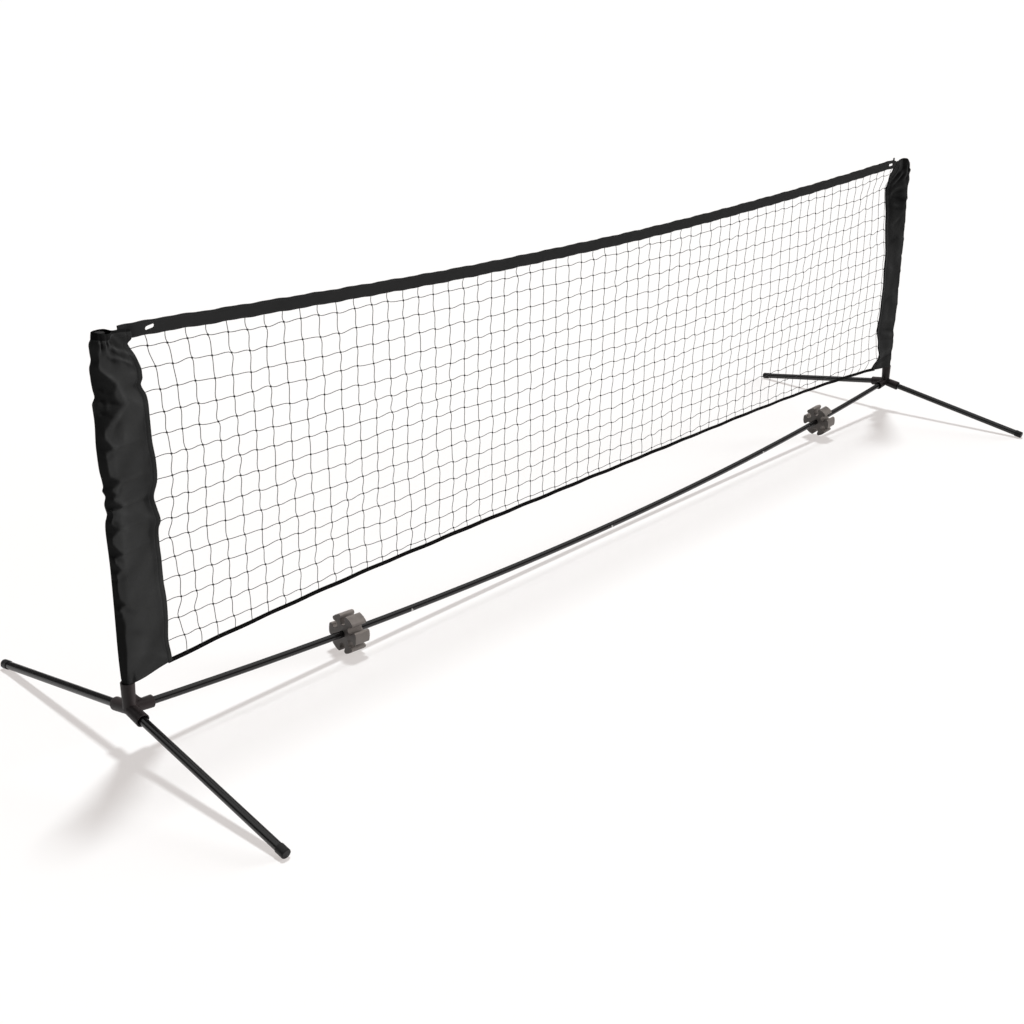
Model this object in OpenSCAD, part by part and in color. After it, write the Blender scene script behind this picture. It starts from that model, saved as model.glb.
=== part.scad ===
// Portable pickleball net.
// A bowed tube bar joins two moulded hubs. Each hub holds two sloping legs and a leaning post.
// The net has a webbing top band, a taped lower edge and a fabric sleeve at each end, which
// drops over the post. Two slotted storage clips ride on the bar. X runs along the net,
// Z is up, and the origin is on the floor under the middle of the bar.

/* [Overall] */
// Distance between the two hub centres
hub_span = 3048; // [2400:1:3700]
// Length of a post from the hub centre to the top of its plug
post_reach = 757; // [600:1:920]
// Length of a leg from the hub centre to the end of its cap
leg_reach = 510; // [400:1:620]
// Inward lean of the posts, degrees
post_lean = 2.4; // [0:0.1:4]
// Outward splay of each leg in plan, degrees
leg_toe = 1.4; // [0:0.1:6]

/* [Base bar] */
// Radius of the bar's downward bow
bow_r = 15400; // [12800:100:18500]
// Clear height under the middle of the bar
bar_clear = 11.5; // [9:0.1:20]
// Outer diameter of the bar tubes
bar_od = 16; // [14:0.1:19]
// Wall of the bar tubes
bar_wall = 1.2; // [0.9:0.1:1.5]
// Length of the swaged spigot that enters the next tube
spigot_len = 45; // [35:1:60]
// Radial gap between a spigot and the tube round it
spigot_gap = 0.15; // [0.1:0.01:0.25]
// Distance from a tube joint to its snap button
button_back = 15; // [10:0.5:20]
// Diameter of a snap button
button_d = 6; // [4:0.1:7]
// Height of a snap button above the tube
button_out = 2.5; // [1.5:0.1:4]

/* [Legs and posts] */
// Outer diameter of the leg and post tubes
tube_od = 18; // [16:0.1:22]
// Wall of the leg and post tubes
tube_wall = 1.2; // [0.9:0.1:1.6]
// Wall of a leg's end cap
cap_wall = 1.3; // [1:0.1:2]
// Length of a leg's end cap
cap_len = 22; // [15:1:30]
// Edge rounding of a leg's end cap
cap_round = 2.5; // [1:0.1:4]
// Thickness of the closed end of a cap or plug
end_t = 3; // [2.5:0.1:5]
// Length of the plug inside a post's top
plug_len = 14; // [8:1:25]

/* [Hub] */
// Length of the post socket from the hub centre
post_socket_len = 58; // [50:1:80]
// Length of the leg sockets from the hub centre
leg_socket_len = 49; // [44:1:70]
// Length of the bar socket from the hub centre
bar_socket_len = 51; // [46:1:80]
// Wall of the sockets at their roots
socket_wall = 4; // [3:0.1:5.5]
// Growth of a socket's radius from its root to its mouth
socket_taper = 1.3; // [0:0.1:2]
// Distance from the hub centre to the floor of each socket
socket_floor = 14; // [13:0.5:18]
// Width of the rim round each socket's mouth
socket_rim = 2.3; // [1.2:0.1:2.8]
// Depth of the funnel inside each socket's mouth
funnel_len = 4; // [2:0.5:6]
// Thickness of the web between the post and bar sockets
web_t = 5; // [3:0.1:8]

/* [Storage clips] */
// Outer radius of a storage clip
clip_r = 46.8; // [46:0.1:48.6]
// Length of a storage clip along the bar
clip_len = 41.5; // [25:0.5:45]
// Number of tube slots round a clip
clip_slots = 6; // [4:1:6]
// Radius of the circle that the slots lie on
slot_ring_r = 31.5; // [31:0.1:36]
// Width of a slot's mouth
slot_mouth = 13.5; // [10:0.1:16]
// Rounding of the lobes beside each slot's mouth
lobe_round = 5; // [1:0.1:5.5]
// Distance of the left clip from the middle of the bar
clip_left_x = 957.5; // [850:0.5:1100]
// Distance of the right clip from the middle of the bar
clip_right_x = 1084; // [850:1:1100]

/* [Net] */
// Height of the top band
band_h = 25.4; // [20:0.1:40]
// Thickness of the top band
band_t = 3; // [2:0.1:5]
// Height of the band's ends above the sleeve tops
band_over = 6; // [0:0.5:12]
// Sag of the band at mid-span
band_sag = 36; // [0:1:80]
// Height of the lower tape
tape_h = 9; // [6:0.1:15]
// Thickness of the lower tape
tape_t = 3; // [2:0.1:5]
// Height of the lower tape's ends above the bottoms of the sleeves
tape_over = 6.4; // [4:0.1:15]
// Drop of the lower tape from mid-span to its ends
tape_drop = 27; // [0:1:40]
// Number of mesh gaps along the net
mesh_cols = 34; // [10:1:36]
// Number of mesh gaps down the net
mesh_rows = 8; // [4:1:8]
// Width of a mesh strand
strand = 2; // [1.5:0.1:3]
// Thickness of the mesh
mesh_t = 1.6; // [1:0.1:2.5]

/* [Sleeves] */
// Width of a sleeve below its gathered top
sleeve_w = 122; // [100:1:150]
// Gap between a post and the outer edge of its sleeve, at the hub
sleeve_ease = 5.4; // [4.5:0.1:12]
// Growth of that gap towards the gathered top
sleeve_slack = 17.3; // [0:0.1:25]
// Gap between a post and the outer edge of the gathered mouth
mouth_room = 7.7; // [6:0.1:10]
// Gap between a post and the faces of its sleeve
sleeve_room = 5; // [4.5:0.1:9]
// Depth of the folds in a sleeve
sleeve_fold = 2.2; // [0:0.1:3]
// Cloth thickness, with its lining
sleeve_wall = 1.2; // [1:0.1:2]
// Width of the sewn hem along the inner edge
sleeve_hem = 12; // [8:1:20]
// Height of the sleeve's top rim above the post's plug
sleeve_over = 0.6; // [0:0.1:10]

/* [Fits] */
// Radial gap between a tube and its socket
tube_gap = 0.1; // [0.05:0.01:0.2]
// Gap between seated pieces that come apart
seat_gap = 0.2; // [0.1:0.05:0.5]
// Gap between soft pieces and their neighbours
soft_gap = 0.3; // [0.3:0.05:0.6]

/* [Hidden] */

steel = "#1d1b1c";
hub_plastic = "#3a3233";
end_plastic = "#171617";
clip_foam = "#79736a";
cloth = "#2b2b2c";
webbing = "#303031";
twine = "#47474a";
elastic_black = "#222222";
bright_steel = "#c4c4c6";

$fn = 64;
arc_fn = 2880;
eps = 0.5;

// Base geometry
half = hub_span / 2;
tube_r = tube_od / 2;
bar_r = bar_od / 2;
bar_low = bar_clear + bar_r;
hub_angle = asin(half / bow_r);
hub_z = bar_low + bow_r * (1 - cos(hub_angle));
socket_r = tube_r + tube_gap + socket_wall;
bar_socket_r = bar_r + tube_gap + socket_wall;
tube_start = socket_floor + seat_gap;
bow_ease = 0.1;

// Height and tangent angle of the bar's centre line at x
function bar_angle(x) = asin(x / bow_r);
function bar_z(x) = bar_low + bow_r * (1 - cos(bar_angle(x)));

// The legs slope so that the rounded ends of their caps touch the floor
cap_r = tube_r + cap_wall;
cap_touch = leg_reach - cap_round;
cap_flat_r = cap_r - cap_round;
leg_drop = asin((hub_z - cap_round) / norm([cap_touch, cap_flat_r])) - atan(cap_flat_r / cap_touch);

// Net outline, measured inboard from the hub centre
sleeve_seat = 0.6;
sleeve_z0 = hub_z + post_socket_len * cos(post_lean) + sleeve_seat;
sleeve_z1 = hub_z + post_reach * cos(post_lean) + sleeve_over;
sleeve_bulge = tube_r + sleeve_room;
band_top_z = sleeve_z1 + band_over;
tape_mid_z = sleeve_z0 + tape_over + tape_drop;
elastic_r = sleeve_bulge - sleeve_wall - 3 * soft_gap;
elastic_t = 1.2;
elastic_h = 12;
elastic_below = 18;
neck_drop = 36;
neck_in = 24;
shoulder_h = 90;
tab_w = 94;
mouth_w = tube_od + 20;
mouth_depth = 70;
nose_w = tube_r + 6;
hem_half_t = 2;
hem_wave = 1.5;
sleeve_levels = 26;
sleeve_sides = 20;

function smooth(t) = let(u = min(1, max(0, t))) u * u * (3 - 2 * u);

// Inner edge of a sleeve below its neck
sleeve_in = sleeve_w - tube_r - sleeve_ease + (sleeve_z0 - hub_z) * tan(post_lean);

// How far a sleeve is gathered at height z: 0 below, 1 at the mouth
function gather(z, depth) = smooth((z - (sleeve_z1 - depth)) / depth);
// Outer and inner edges of a sleeve, and the inner end of the pocket that the post stands in
function edge_out(z) =
    let(t = (z - sleeve_z0) / (sleeve_z1 - sleeve_z0),
        gap = sleeve_ease + sleeve_slack * t,
        g = gather(z, neck_drop))
    (z - hub_z) * tan(post_lean) - tube_r - gap * (1 - g) - mouth_room * g
    + hem_wave * (1 - g) * sin((z - sleeve_z1) * 2.1);
function edge_in(z) =
    let(neck = smooth((z - (sleeve_z1 - neck_drop - shoulder_h)) / shoulder_h),
        tab = smooth((z - (sleeve_z1 - neck_drop)) / (neck_drop / 2)))
    sleeve_in * (1 - tab) - neck_in * neck * (1 - tab) + tab_w * tab;
function pocket_w(z) =
    let(g = gather(z, mouth_depth))
    (edge_in(z) - sleeve_hem - edge_out(z)) * (1 - g) + mouth_w * g;
function sleeve_level(i) =
    let(t = i / sleeve_levels) sleeve_z0 + (sleeve_z1 - sleeve_z0) * (1 - pow(1 - t, 1.5));

// Net curves along its length: u runs from -1 to 1
net_half = half - tab_w - soft_gap;
edge_table = [for (i = [0 : sleeve_levels]) [sleeve_level(i), edge_in(sleeve_level(i))]];
function band_top(u) = band_top_z - band_sag * (1 - u * u);
function band_bottom(u) = band_top(u) - band_h;
function tape_top(u) = tape_mid_z + tape_h / 2 - tape_drop * pow(u, 4);
function net_side(z) = half - soft_gap - lookup(z, edge_table);
function net_point(i, j) =
    let(u = 2 * i / mesh_cols - 1,
        z = tape_top(u) + (band_bottom(u) - tape_top(u)) * j / mesh_rows)
    [u * net_side(z), z];

// ---- Tubes ----

// A straight tube along +Z from start to end
module tube(r, wall, start, end) {
    translate([0, 0, start])
        difference() {
            cylinder(r = r, h = end - start);
            translate([0, 0, -eps])
                cylinder(r = r - wall, h = end - start + 2 * eps);
        }
}

// Turns +Z to run along a leg: side is -1 for left, depth is -1 for front
module along_leg(side, depth) {
    translate([side * half, 0, hub_z])
        rotate([0, 0, -side * depth * leg_toe])
            rotate([-depth * (90 + leg_drop), 0, 0])
                children();
}

// Turns +Z to run up a post
module along_post(side) {
    translate([side * half, 0, hub_z])
        rotate([0, -side * post_lean, 0])
            children();
}

// Turns +Z to run along the bar's tangent at x, with Y unchanged
module along_bar(x) {
    translate([x, 0, bar_z(x)])
        rotate([0, 90 - bar_angle(x), 0])
            children();
}

// Round bar that follows the bow from x0 to x1
module bowed_bar(r, x0, x1) {
    translate([0, 0, bar_low + bow_r])
        rotate([90, 0, 0])
            rotate([0, 0, bar_angle(x0) - 90])
                rotate_extrude(angle = bar_angle(x1) - bar_angle(x0), $fn = arc_fn)
                    translate([bow_r, 0])
                        circle(r = r, $fn = 48);
}

module leg(side, depth) {
    color(steel)
        along_leg(side, depth)
            tube(tube_r, tube_wall, tube_start, leg_reach - end_t);
}

module leg_cap(side, depth) {
    edge = 0.6;
    open_end = leg_reach - cap_len;
    color(end_plastic)
        along_leg(side, depth)
            rotate_extrude()
                polygon(concat(
                    [[tube_r, leg_reach - end_t], [tube_r, open_end],
                     [cap_r - edge, open_end], [cap_r, open_end + edge]],
                    [for (a = [0:15:90])
                        [cap_r + cap_round * (cos(a) - 1), leg_reach + cap_round * (sin(a) - 1)]],
                    [[0, leg_reach], [0, leg_reach - end_t]]));
}

module post(side) {
    color(steel)
        along_post(side)
            tube(tube_r, tube_wall, tube_start, post_reach - end_t);
}

module post_plug(side) {
    plug_r = tube_r - tube_wall;
    dome = 1.4;
    lead = 1;
    shoulder = post_reach - end_t;
    tip = shoulder - plug_len;
    color(end_plastic)
        along_post(side)
            rotate_extrude()
                polygon(concat(
                    [[0, tip], [plug_r - lead, tip], [plug_r, tip + lead], [plug_r, shoulder],
                     [tube_r, shoulder], [tube_r, post_reach - dome]],
                    [for (a = [15:15:75]) [tube_r * cos(a), post_reach + dome * (sin(a) - 1)]],
                    [[0, post_reach]]));
}

// ---- Bowed bar in four tubes ----

bar_start = half - tube_start;
bar_section = 2 * bar_start / 4;
spigot_r = bar_r - bar_wall - spigot_gap;
spigot_wall = 1.2;
spigot_bore_r = spigot_r - spigot_wall;
button_r = button_d / 2;
button_gap = 0.1;
button_foot_t = 1.2;
button_foot_in = spigot_bore_r - 1.6;
function joint_x(i) = -bar_start + i * bar_section;
function button_x(i) = joint_x(i) - button_back;

// Tube n of four; every tube but the first has a spigot at its left end
module bar_tube(n) {
    x0 = joint_x(n - 1);
    x1 = joint_x(n);
    neck = 8;
    color(steel)
        difference() {
            union() {
                bowed_bar(bar_r, x0, x1);
                if (n > 1)
                    bowed_bar(spigot_r, x0 - spigot_len, x0 + neck);
            }
            if (n > 1) {
                bowed_bar(spigot_bore_r, x0 - spigot_len - eps, x0 + 2 * neck);
                bowed_bar(bar_r - bar_wall, x0 + neck, x1 + eps);
                button_hole(n - 1);
            } else {
                bowed_bar(bar_r - bar_wall, x0 - eps, x1 + eps);
            }
            if (n < 4)
                button_hole(n);
        }
}

module button_hole(i) {
    translate([button_x(i), 0, bar_z(button_x(i))])
        rotate([90, 0, 0])
            cylinder(r = button_r + button_gap, h = bar_od);
}

// Domed button with a foot flange that stays inside the spigot
module snap_button(i) {
    foot_r = button_r + 0.6;
    tip = bar_r + button_out;
    color(bright_steel)
        translate([button_x(i), 0, bar_z(button_x(i))])
            rotate([90, 0, 0])
                rotate_extrude()
                    polygon(concat(
                        [[0, button_foot_in - button_foot_t], [foot_r, button_foot_in - button_foot_t],
                         [foot_r, button_foot_in], [button_r, button_foot_in]],
                        [for (a = [0:15:90]) [button_r * cos(a), tip + button_r / 2 * (sin(a) - 1)]]));
}

// V-shaped leaf spring: a strip that lies on the far wall and folds back under the button
module snap_spring(i) {
    foot = button_foot_in - button_foot_t;
    strip = 0.6;
    back = spigot_bore_r - 1;
    reach = 26;
    color(bright_steel)
        translate([button_x(i), 0, bar_z(button_x(i))])
            rotate([0, -bar_angle(button_x(i)), 0])
                translate([0, 0, -2])
                    linear_extrude(4)
                        polygon([
                            [-5, -foot], [5, -foot], [reach - 2, back - 3], [reach, back - 1.5],
                            [reach - 2, back], [-8, back], [-8, back - strip],
                            [reach - 2.4, back - strip], [reach - 1, back - 1.5],
                            [reach - 2.4, back - 3 + strip], [5, -foot + strip], [-5, -foot + strip]]);
}

// ---- Hub ----

// Socket body along +Z, wider at its mouth, with a rounded lip
module socket_body(r, len) {
    lip = 0.8;
    mouth_r = r + socket_taper;
    rotate_extrude()
        polygon(concat(
            [[0, 0], [r, 0]],
            [for (a = [0:30:90]) [mouth_r - lip + lip * cos(a), len - lip + lip * sin(a)]],
            [[0, len]]));
}

// Bore of a socket, from its floor to the funnel at its mouth
module socket_bore(r, len) {
    widening = socket_wall + socket_taper - socket_rim;
    past = 1 + eps / funnel_len;
    translate([0, 0, socket_floor])
        cylinder(r = r, h = len - socket_floor + eps);
    translate([0, 0, len - funnel_len])
        cylinder(r1 = r, r2 = r + widening * past, h = funnel_len * past);
}

// Curved web in the corner between the post and the bar sockets
module hub_web() {
    run = socket_r + 19;
    rise = socket_r + 18;
    foot = socket_r - 4;
    hollow = 1.35;
    translate([0, web_t / 2, 0])
        rotate([90, 0, 0])
            linear_extrude(web_t)
                polygon(concat(
                    [[0, 0], [run, 0]],
                    [for (t = [0:0.1:1])
                        [run + (socket_r - run) * t, foot + (rise - foot) * pow(t, hollow)]],
                    [[0, rise]]));
}

module hub_left() {
    bore_r = tube_r + tube_gap;
    ball = 0.5;
    side = -1;
    color(hub_plastic)
        difference() {
            union() {
                translate([side * half, 0, hub_z])
                    sphere(r = socket_r + ball);
                along_post(side) socket_body(socket_r, post_socket_len);
                for (depth = [-1, 1])
                    along_leg(side, depth) socket_body(socket_r, leg_socket_len);
                bar_socket(side) socket_body(bar_socket_r, bar_socket_len);
                translate([side * half, 0, hub_z]) hub_web();
            }
            along_post(side) socket_bore(bore_r, post_socket_len);
            for (depth = [-1, 1])
                along_leg(side, depth) socket_bore(bore_r, leg_socket_len);
            bar_socket(side) socket_bore(bar_r + tube_gap + bow_ease, bar_socket_len);
        }
}

module hub_right() {
    mirror([1, 0, 0]) hub_left();
}

// Turns +Z to run from a hub centre along the bar
module bar_socket(side) {
    translate([side * half, 0, hub_z])
        rotate([0, -side * 90, 0])
            rotate([0, -side * hub_angle, 0])
                children();
}

// ---- Storage clips ----

// Lobes with rounded edges between round slots that open outwards
module clip_profile() {
    half_mouth = slot_mouth / 2;
    lobe_y = half_mouth + lobe_round;
    lobe_x = sqrt(pow(clip_r - lobe_round, 2) - lobe_y * lobe_y);
    over = 2;
    lap = 0.02;
    stretch = (clip_r + over) / (clip_r - lobe_round);
    difference() {
        circle(r = clip_r, $fn = 96);
        circle(r = bar_r + tube_gap);
        for (i = [0 : clip_slots - 1])
            rotate((i + 0.5) * 360 / clip_slots) {
                translate([slot_ring_r, 0]) circle(r = tube_r + tube_gap);
                translate([slot_ring_r, -half_mouth]) square([clip_r, slot_mouth]);
                for (s = [-1, 1])
                    difference() {
                        polygon([
                            [lobe_x, s * (half_mouth - over)], [clip_r + over, s * (half_mouth - over)],
                            [lobe_x * stretch, s * lobe_y * stretch], [lobe_x, s * lobe_y]]);
                        translate([lobe_x, s * lobe_y]) circle(r = lobe_round + lap);
                    }
            }
    }
}

module storage_clip(x) {
    color(clip_foam)
        along_bar(x)
            translate([0, 0, -clip_len / 2])
                linear_extrude(clip_len)
                    rotate(180 / clip_slots)
                        clip_profile();
}

// ---- Net ----

// Strip of constant height on the XZ plane, given its lower and upper edge points
module strip(points, t) {
    translate([0, t / 2, 0])
        rotate([90, 0, 0])
            linear_extrude(t)
                polygon(points);
}

// Left-hand end of the net between two heights, following the sleeve's edge, inset by gap
function net_end(z0, z1, gap) = concat(
    [[-net_side(z0) + gap, z0]],
    [for (row = edge_table) if (row[0] > z0 + eps && row[0] < z1 - eps) [-net_side(row[0]) + gap, row[0]]],
    [[-net_side(z1) + gap, z1]]);
function flip_x(points) = [for (p = points) [-p[0], p[1]]];
function reversed(points) = [for (i = [len(points) - 1 : -1 : 0]) points[i]];

// Gap in the mesh at column i and row j; the end columns follow the sleeves
function mesh_gap(i, j) =
    let(s = strand / 2,
        low = j == 0 ? strand : s,
        high = j == mesh_rows - 1 ? strand : s,
        z0 = net_point(i, j)[1] + low,
        z1 = net_point(i, j + 1)[1] - high)
    i == 0 ? concat(
        [net_point(1, j) + [-s, low]],
        [net_point(1, j + 1) + [-s, -high]],
        reversed(net_end(z0, z1, strand))) :
    [net_point(i, j) + [s, low], net_point(i + 1, j) + [-s, low],
     net_point(i + 1, j + 1) + [-s, -high], net_point(i, j + 1) + [s, -high]];

module net_mesh() {
    end_z0 = tape_top(1);
    end_z1 = band_bottom(1);
    color(twine)
        translate([0, mesh_t / 2, 0])
            rotate([90, 0, 0])
                linear_extrude(mesh_t)
                    difference() {
                        polygon(concat(
                            [for (i = [1 : mesh_cols - 1]) net_point(i, 0)],
                            flip_x(net_end(end_z0, end_z1, 0)),
                            [for (i = [mesh_cols - 1 : -1 : 1]) net_point(i, mesh_rows)],
                            reversed(net_end(end_z0, end_z1, 0))));
                        for (j = [0 : mesh_rows - 1]) {
                            for (i = [0 : mesh_cols - 2])
                                polygon(mesh_gap(i, j));
                            polygon(flip_x(mesh_gap(0, j)));
                        }
                    }
}

module top_band() {
    slot_l = 20;
    slot_h = 8;
    slot_in = 40;
    slot_tilt = 14;
    color(webbing)
        difference() {
            strip(concat(
                [for (i = [1 : mesh_cols - 1]) net_point(i, mesh_rows)],
                flip_x(net_end(band_bottom(1), band_top(1), 0)),
                [for (i = [mesh_cols - 1 : -1 : 1])
                    let(u = 2 * i / mesh_cols - 1) [u * net_half, band_top(u)]],
                reversed(net_end(band_bottom(1), band_top(1), 0))), band_t);
            for (side = [-1, 1])
                translate([side * (net_half - slot_in), 0, band_top(1 - slot_in / net_half) - band_h / 2])
                    rotate([90, side * slot_tilt, 0]) {
                        cube([slot_l - slot_h, slot_h, band_t * 2], center = true);
                        for (end = [-1, 1])
                            translate([end * (slot_l - slot_h) / 2, 0, 0])
                                cylinder(r = slot_h / 2, h = band_t * 2, center = true);
                    }
        }
}

module bottom_tape() {
    color(webbing)
        strip(concat(
            [for (i = [0 : mesh_cols]) [net_point(i, 0)[0], net_point(i, 0)[1] - tape_h]],
            [for (i = [mesh_cols : -1 : 0]) net_point(i, 0)]), tape_t);
}

// Small folded loop of tape, sewn on the band's top edge near the right-hand post
module band_loop() {
    loop_w = 4;
    loop_h = 11;
    loop_in = 14;
    loop_t = 0.8;
    x = net_half - loop_in;
    color(webbing)
        translate([x, 0, band_top(x / net_half)])
            translate([-loop_w / 2, 0, 0])
                rotate([90, 0, 90])
                    linear_extrude(loop_w)
                        difference() {
                            union() {
                                translate([-1.6, 0.1]) square([3.2, loop_h - 1.7]);
                                translate([0, loop_h - 1.6]) circle(r = 1.6, $fn = 24);
                            }
                            translate([-1.6 + loop_t, 2]) square([3.2 - 2 * loop_t, loop_h - 3.6]);
                            translate([0, loop_h - 1.6]) circle(r = 1.6 - loop_t, $fn = 24);
                        }
}

// ---- Sleeves ----

// Half thickness of the sleeve x inboard of its outer edge, on side s of the net at height z
function sleeve_half_t(x, z, s, inset) =
    let(pw = pocket_w(z),
        nose = x - inset < nose_w - inset ? sqrt(1 - pow(1 - (x - inset) / (nose_w - inset), 2)) : 1,
        full = 0.42 + 0.2 * gather(z, mouth_depth),
        flat = smooth((x / pw - full) / (1 - full)),
        wave = 0.6 * sin(360 * (z / 170 + 0.9 * x / sleeve_w) + 90 * s)
            + 0.4 * sin(360 * (z / 92 - 1.1 * x / sleeve_w) + 110 * s),
        fold = 1 + sleeve_fold / sleeve_bulge * wave * (1 - gather(z, mouth_depth)),
        tip = inset > 0 ? 0.5 : hem_half_t)
    nose * ((sleeve_bulge - inset) * fold * (1 - flat) + tip * flat);

// Ring of points round the pocket at height z; the outer skin's last point reaches the hem
function sleeve_ring(z, inset) =
    let(n = sleeve_sides / 2, m = inset > 0 ? n : n - 1)
    [for (k = [0 : sleeve_sides - 1])
        let(q = k <= n ? k : sleeve_sides - k,
            s = k <= n ? 1 : -1,
            x = q == n && inset == 0 ? edge_in(z) - edge_out(z)
                : inset + (pocket_w(z) - inset) * (1 - cos(180 * q / m)) / 2)
        [edge_out(z) + x, q == 0 || q == n ? 0 : s * sleeve_half_t(x, z, s, inset), z]];

// Faces between successive rings that start at point from, and across two rings
function wall_faces(from, rows, turn) =
    [for (i = [0 : rows - 1])
        for (k = [0 : sleeve_sides - 1])
            let(a = from + i * sleeve_sides + k,
                b = from + i * sleeve_sides + (k + 1) % sleeve_sides,
                c = b + sleeve_sides,
                d = a + sleeve_sides)
            each (turn ? [[a, b, c], [a, c, d]] : [[c, b, a], [d, c, a]])];
function rim_faces(outer, inner, turn) =
    [for (k = [0 : sleeve_sides - 1])
        let(k2 = (k + 1) % sleeve_sides)
        each (turn ? [[outer + k, inner + k, inner + k2], [outer + k, inner + k2, outer + k2]]
                   : [[inner + k2, inner + k, outer + k], [outer + k2, inner + k2, outer + k]])];

// Pocket of cloth: an outer and an inner skin joined at the lower hem and the gathered mouth
module sleeve() {
    skin = (sleeve_levels + 1) * sleeve_sides;
    last = sleeve_levels * sleeve_sides;
    polyhedron(
        points = concat(
            [for (i = [0 : sleeve_levels]) each sleeve_ring(sleeve_level(i), 0)],
            [for (i = [0 : sleeve_levels]) each sleeve_ring(sleeve_level(i), sleeve_wall)]),
        faces = concat(
            wall_faces(0, sleeve_levels, true),
            wall_faces(skin, sleeve_levels, false),
            rim_faces(0, skin, true),
            rim_faces(last, skin + last, false)));
}

module sleeve_left() {
    color(cloth) translate([-half, 0, 0]) sleeve();
}

module sleeve_right() {
    color(cloth) mirror([1, 0, 0]) translate([-half, 0, 0]) sleeve();
}

module sleeve_elastic(side) {
    color(elastic_black)
        along_post(side)
            translate([0, 0, post_reach - elastic_below])
                difference() {
                    cylinder(r = elastic_r, h = elastic_h);
                    translate([0, 0, -eps])
                        cylinder(r = elastic_r - elastic_t, h = elastic_h + 2 * eps);
                }
}

hub_left();
hub_right();
leg(-1, -1);  // leg_front_left
leg(-1, 1);  // leg_back_left
leg(1, -1);  // leg_front_right
leg(1, 1);  // leg_back_right
leg_cap(-1, -1);  // cap_front_left
leg_cap(-1, 1);  // cap_back_left
leg_cap(1, -1);  // cap_front_right
leg_cap(1, 1);  // cap_back_right
post(-1);  // post_left
post(1);  // post_right
post_plug(-1);  // post_plug_left
post_plug(1);  // post_plug_right
bar_tube(1);  // bar_tube_1
bar_tube(2);  // bar_tube_2
bar_tube(3);  // bar_tube_3
bar_tube(4);  // bar_tube_4
snap_button(1);  // snap_button_1
snap_button(2);  // snap_button_2
snap_button(3);  // snap_button_3
snap_spring(1);  // snap_spring_1
snap_spring(2);  // snap_spring_2
snap_spring(3);  // snap_spring_3
storage_clip(-clip_left_x);  // storage_clip_left
storage_clip(clip_right_x);  // storage_clip_right
net_mesh();
top_band();
bottom_tape();
band_loop();
sleeve_left();
sleeve_right();
sleeve_elastic(-1);  // sleeve_elastic_left
sleeve_elastic(1);  // sleeve_elastic_right
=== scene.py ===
"""Looks of a portable pickleball net: knotted twine, sewn cloth, webbing, painted tubes and plastics."""

import math

import bmesh
import bpy
import numpy as np
from mathutils import Matrix, Vector


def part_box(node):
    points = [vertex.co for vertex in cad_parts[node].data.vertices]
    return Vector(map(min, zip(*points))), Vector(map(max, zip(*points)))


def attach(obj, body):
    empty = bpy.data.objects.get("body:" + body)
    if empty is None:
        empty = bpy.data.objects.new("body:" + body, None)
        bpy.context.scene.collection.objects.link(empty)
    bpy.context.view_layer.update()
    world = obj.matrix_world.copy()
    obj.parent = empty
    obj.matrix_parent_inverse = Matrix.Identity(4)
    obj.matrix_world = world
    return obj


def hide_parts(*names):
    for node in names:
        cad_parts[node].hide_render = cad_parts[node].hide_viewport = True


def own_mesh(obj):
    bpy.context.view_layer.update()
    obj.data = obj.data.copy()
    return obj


bl_info = {
    "name": "Portable pickleball net",
    "version": (1, 0, 0),
    "blender": (4, 5, 0),
    "location": "3D View > Sidebar > Net",
    "description": "Sews the net, its band, tape and sleeves on the packed frame and finishes every piece",
    "category": "Object",
}

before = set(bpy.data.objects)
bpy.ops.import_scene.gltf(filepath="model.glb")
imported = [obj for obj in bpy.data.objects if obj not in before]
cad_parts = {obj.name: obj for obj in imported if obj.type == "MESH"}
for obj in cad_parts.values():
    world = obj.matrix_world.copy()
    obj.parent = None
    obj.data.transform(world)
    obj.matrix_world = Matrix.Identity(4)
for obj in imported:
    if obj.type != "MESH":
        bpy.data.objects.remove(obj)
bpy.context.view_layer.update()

MM = 0.001
# Half the distance between the hubs, the height where their sockets meet and how far the posts lean out.
HUB_X = 1.524
HUB_Z = 0.095094
POST_LEAN = math.radians(2.4)
# Corners of the CAD pieces that the band, the tape and the loop take their places from.
BAND_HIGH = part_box("top_band")[1]
TAPE_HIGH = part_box("bottom_tape")[1]
LOOP_LOW, LOOP_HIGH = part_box("band_loop")
# Height of the band's lower edge where its upper edge is highest.
BAND_FOOT = 0.8304
# Towards the front of the net, which looks along -Y.
FORWARD = (0.0, -1.0, 0.0)
# A distance too small to matter, for comparing and welding places.
HAIR = 1e-6

# ---------------------------------------------------------------- settings


def length(name, text, default):
    """A size in metres that shows in Blender's own length unit."""
    return bpy.props.FloatProperty(name=name, description=text, default=default, unit="LENGTH", precision=5)


def count(name, text, default):
    """A whole number of repeats."""
    return bpy.props.IntProperty(name=name, description=text, default=default, min=1)


def colour(name, text, default):
    """A linear colour."""
    return bpy.props.FloatVectorProperty(name=name, description=text, default=default, subtype="COLOR",
                                         size=3, min=0, max=1)


def share(name, text, default):
    """A share from 0 to 1."""
    return bpy.props.FloatProperty(name=name, description=text, default=default, min=0, max=1)


def strength(name, text, default):
    """The strength of a light."""
    return bpy.props.FloatProperty(name=name, description=text, default=default, min=0)


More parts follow.
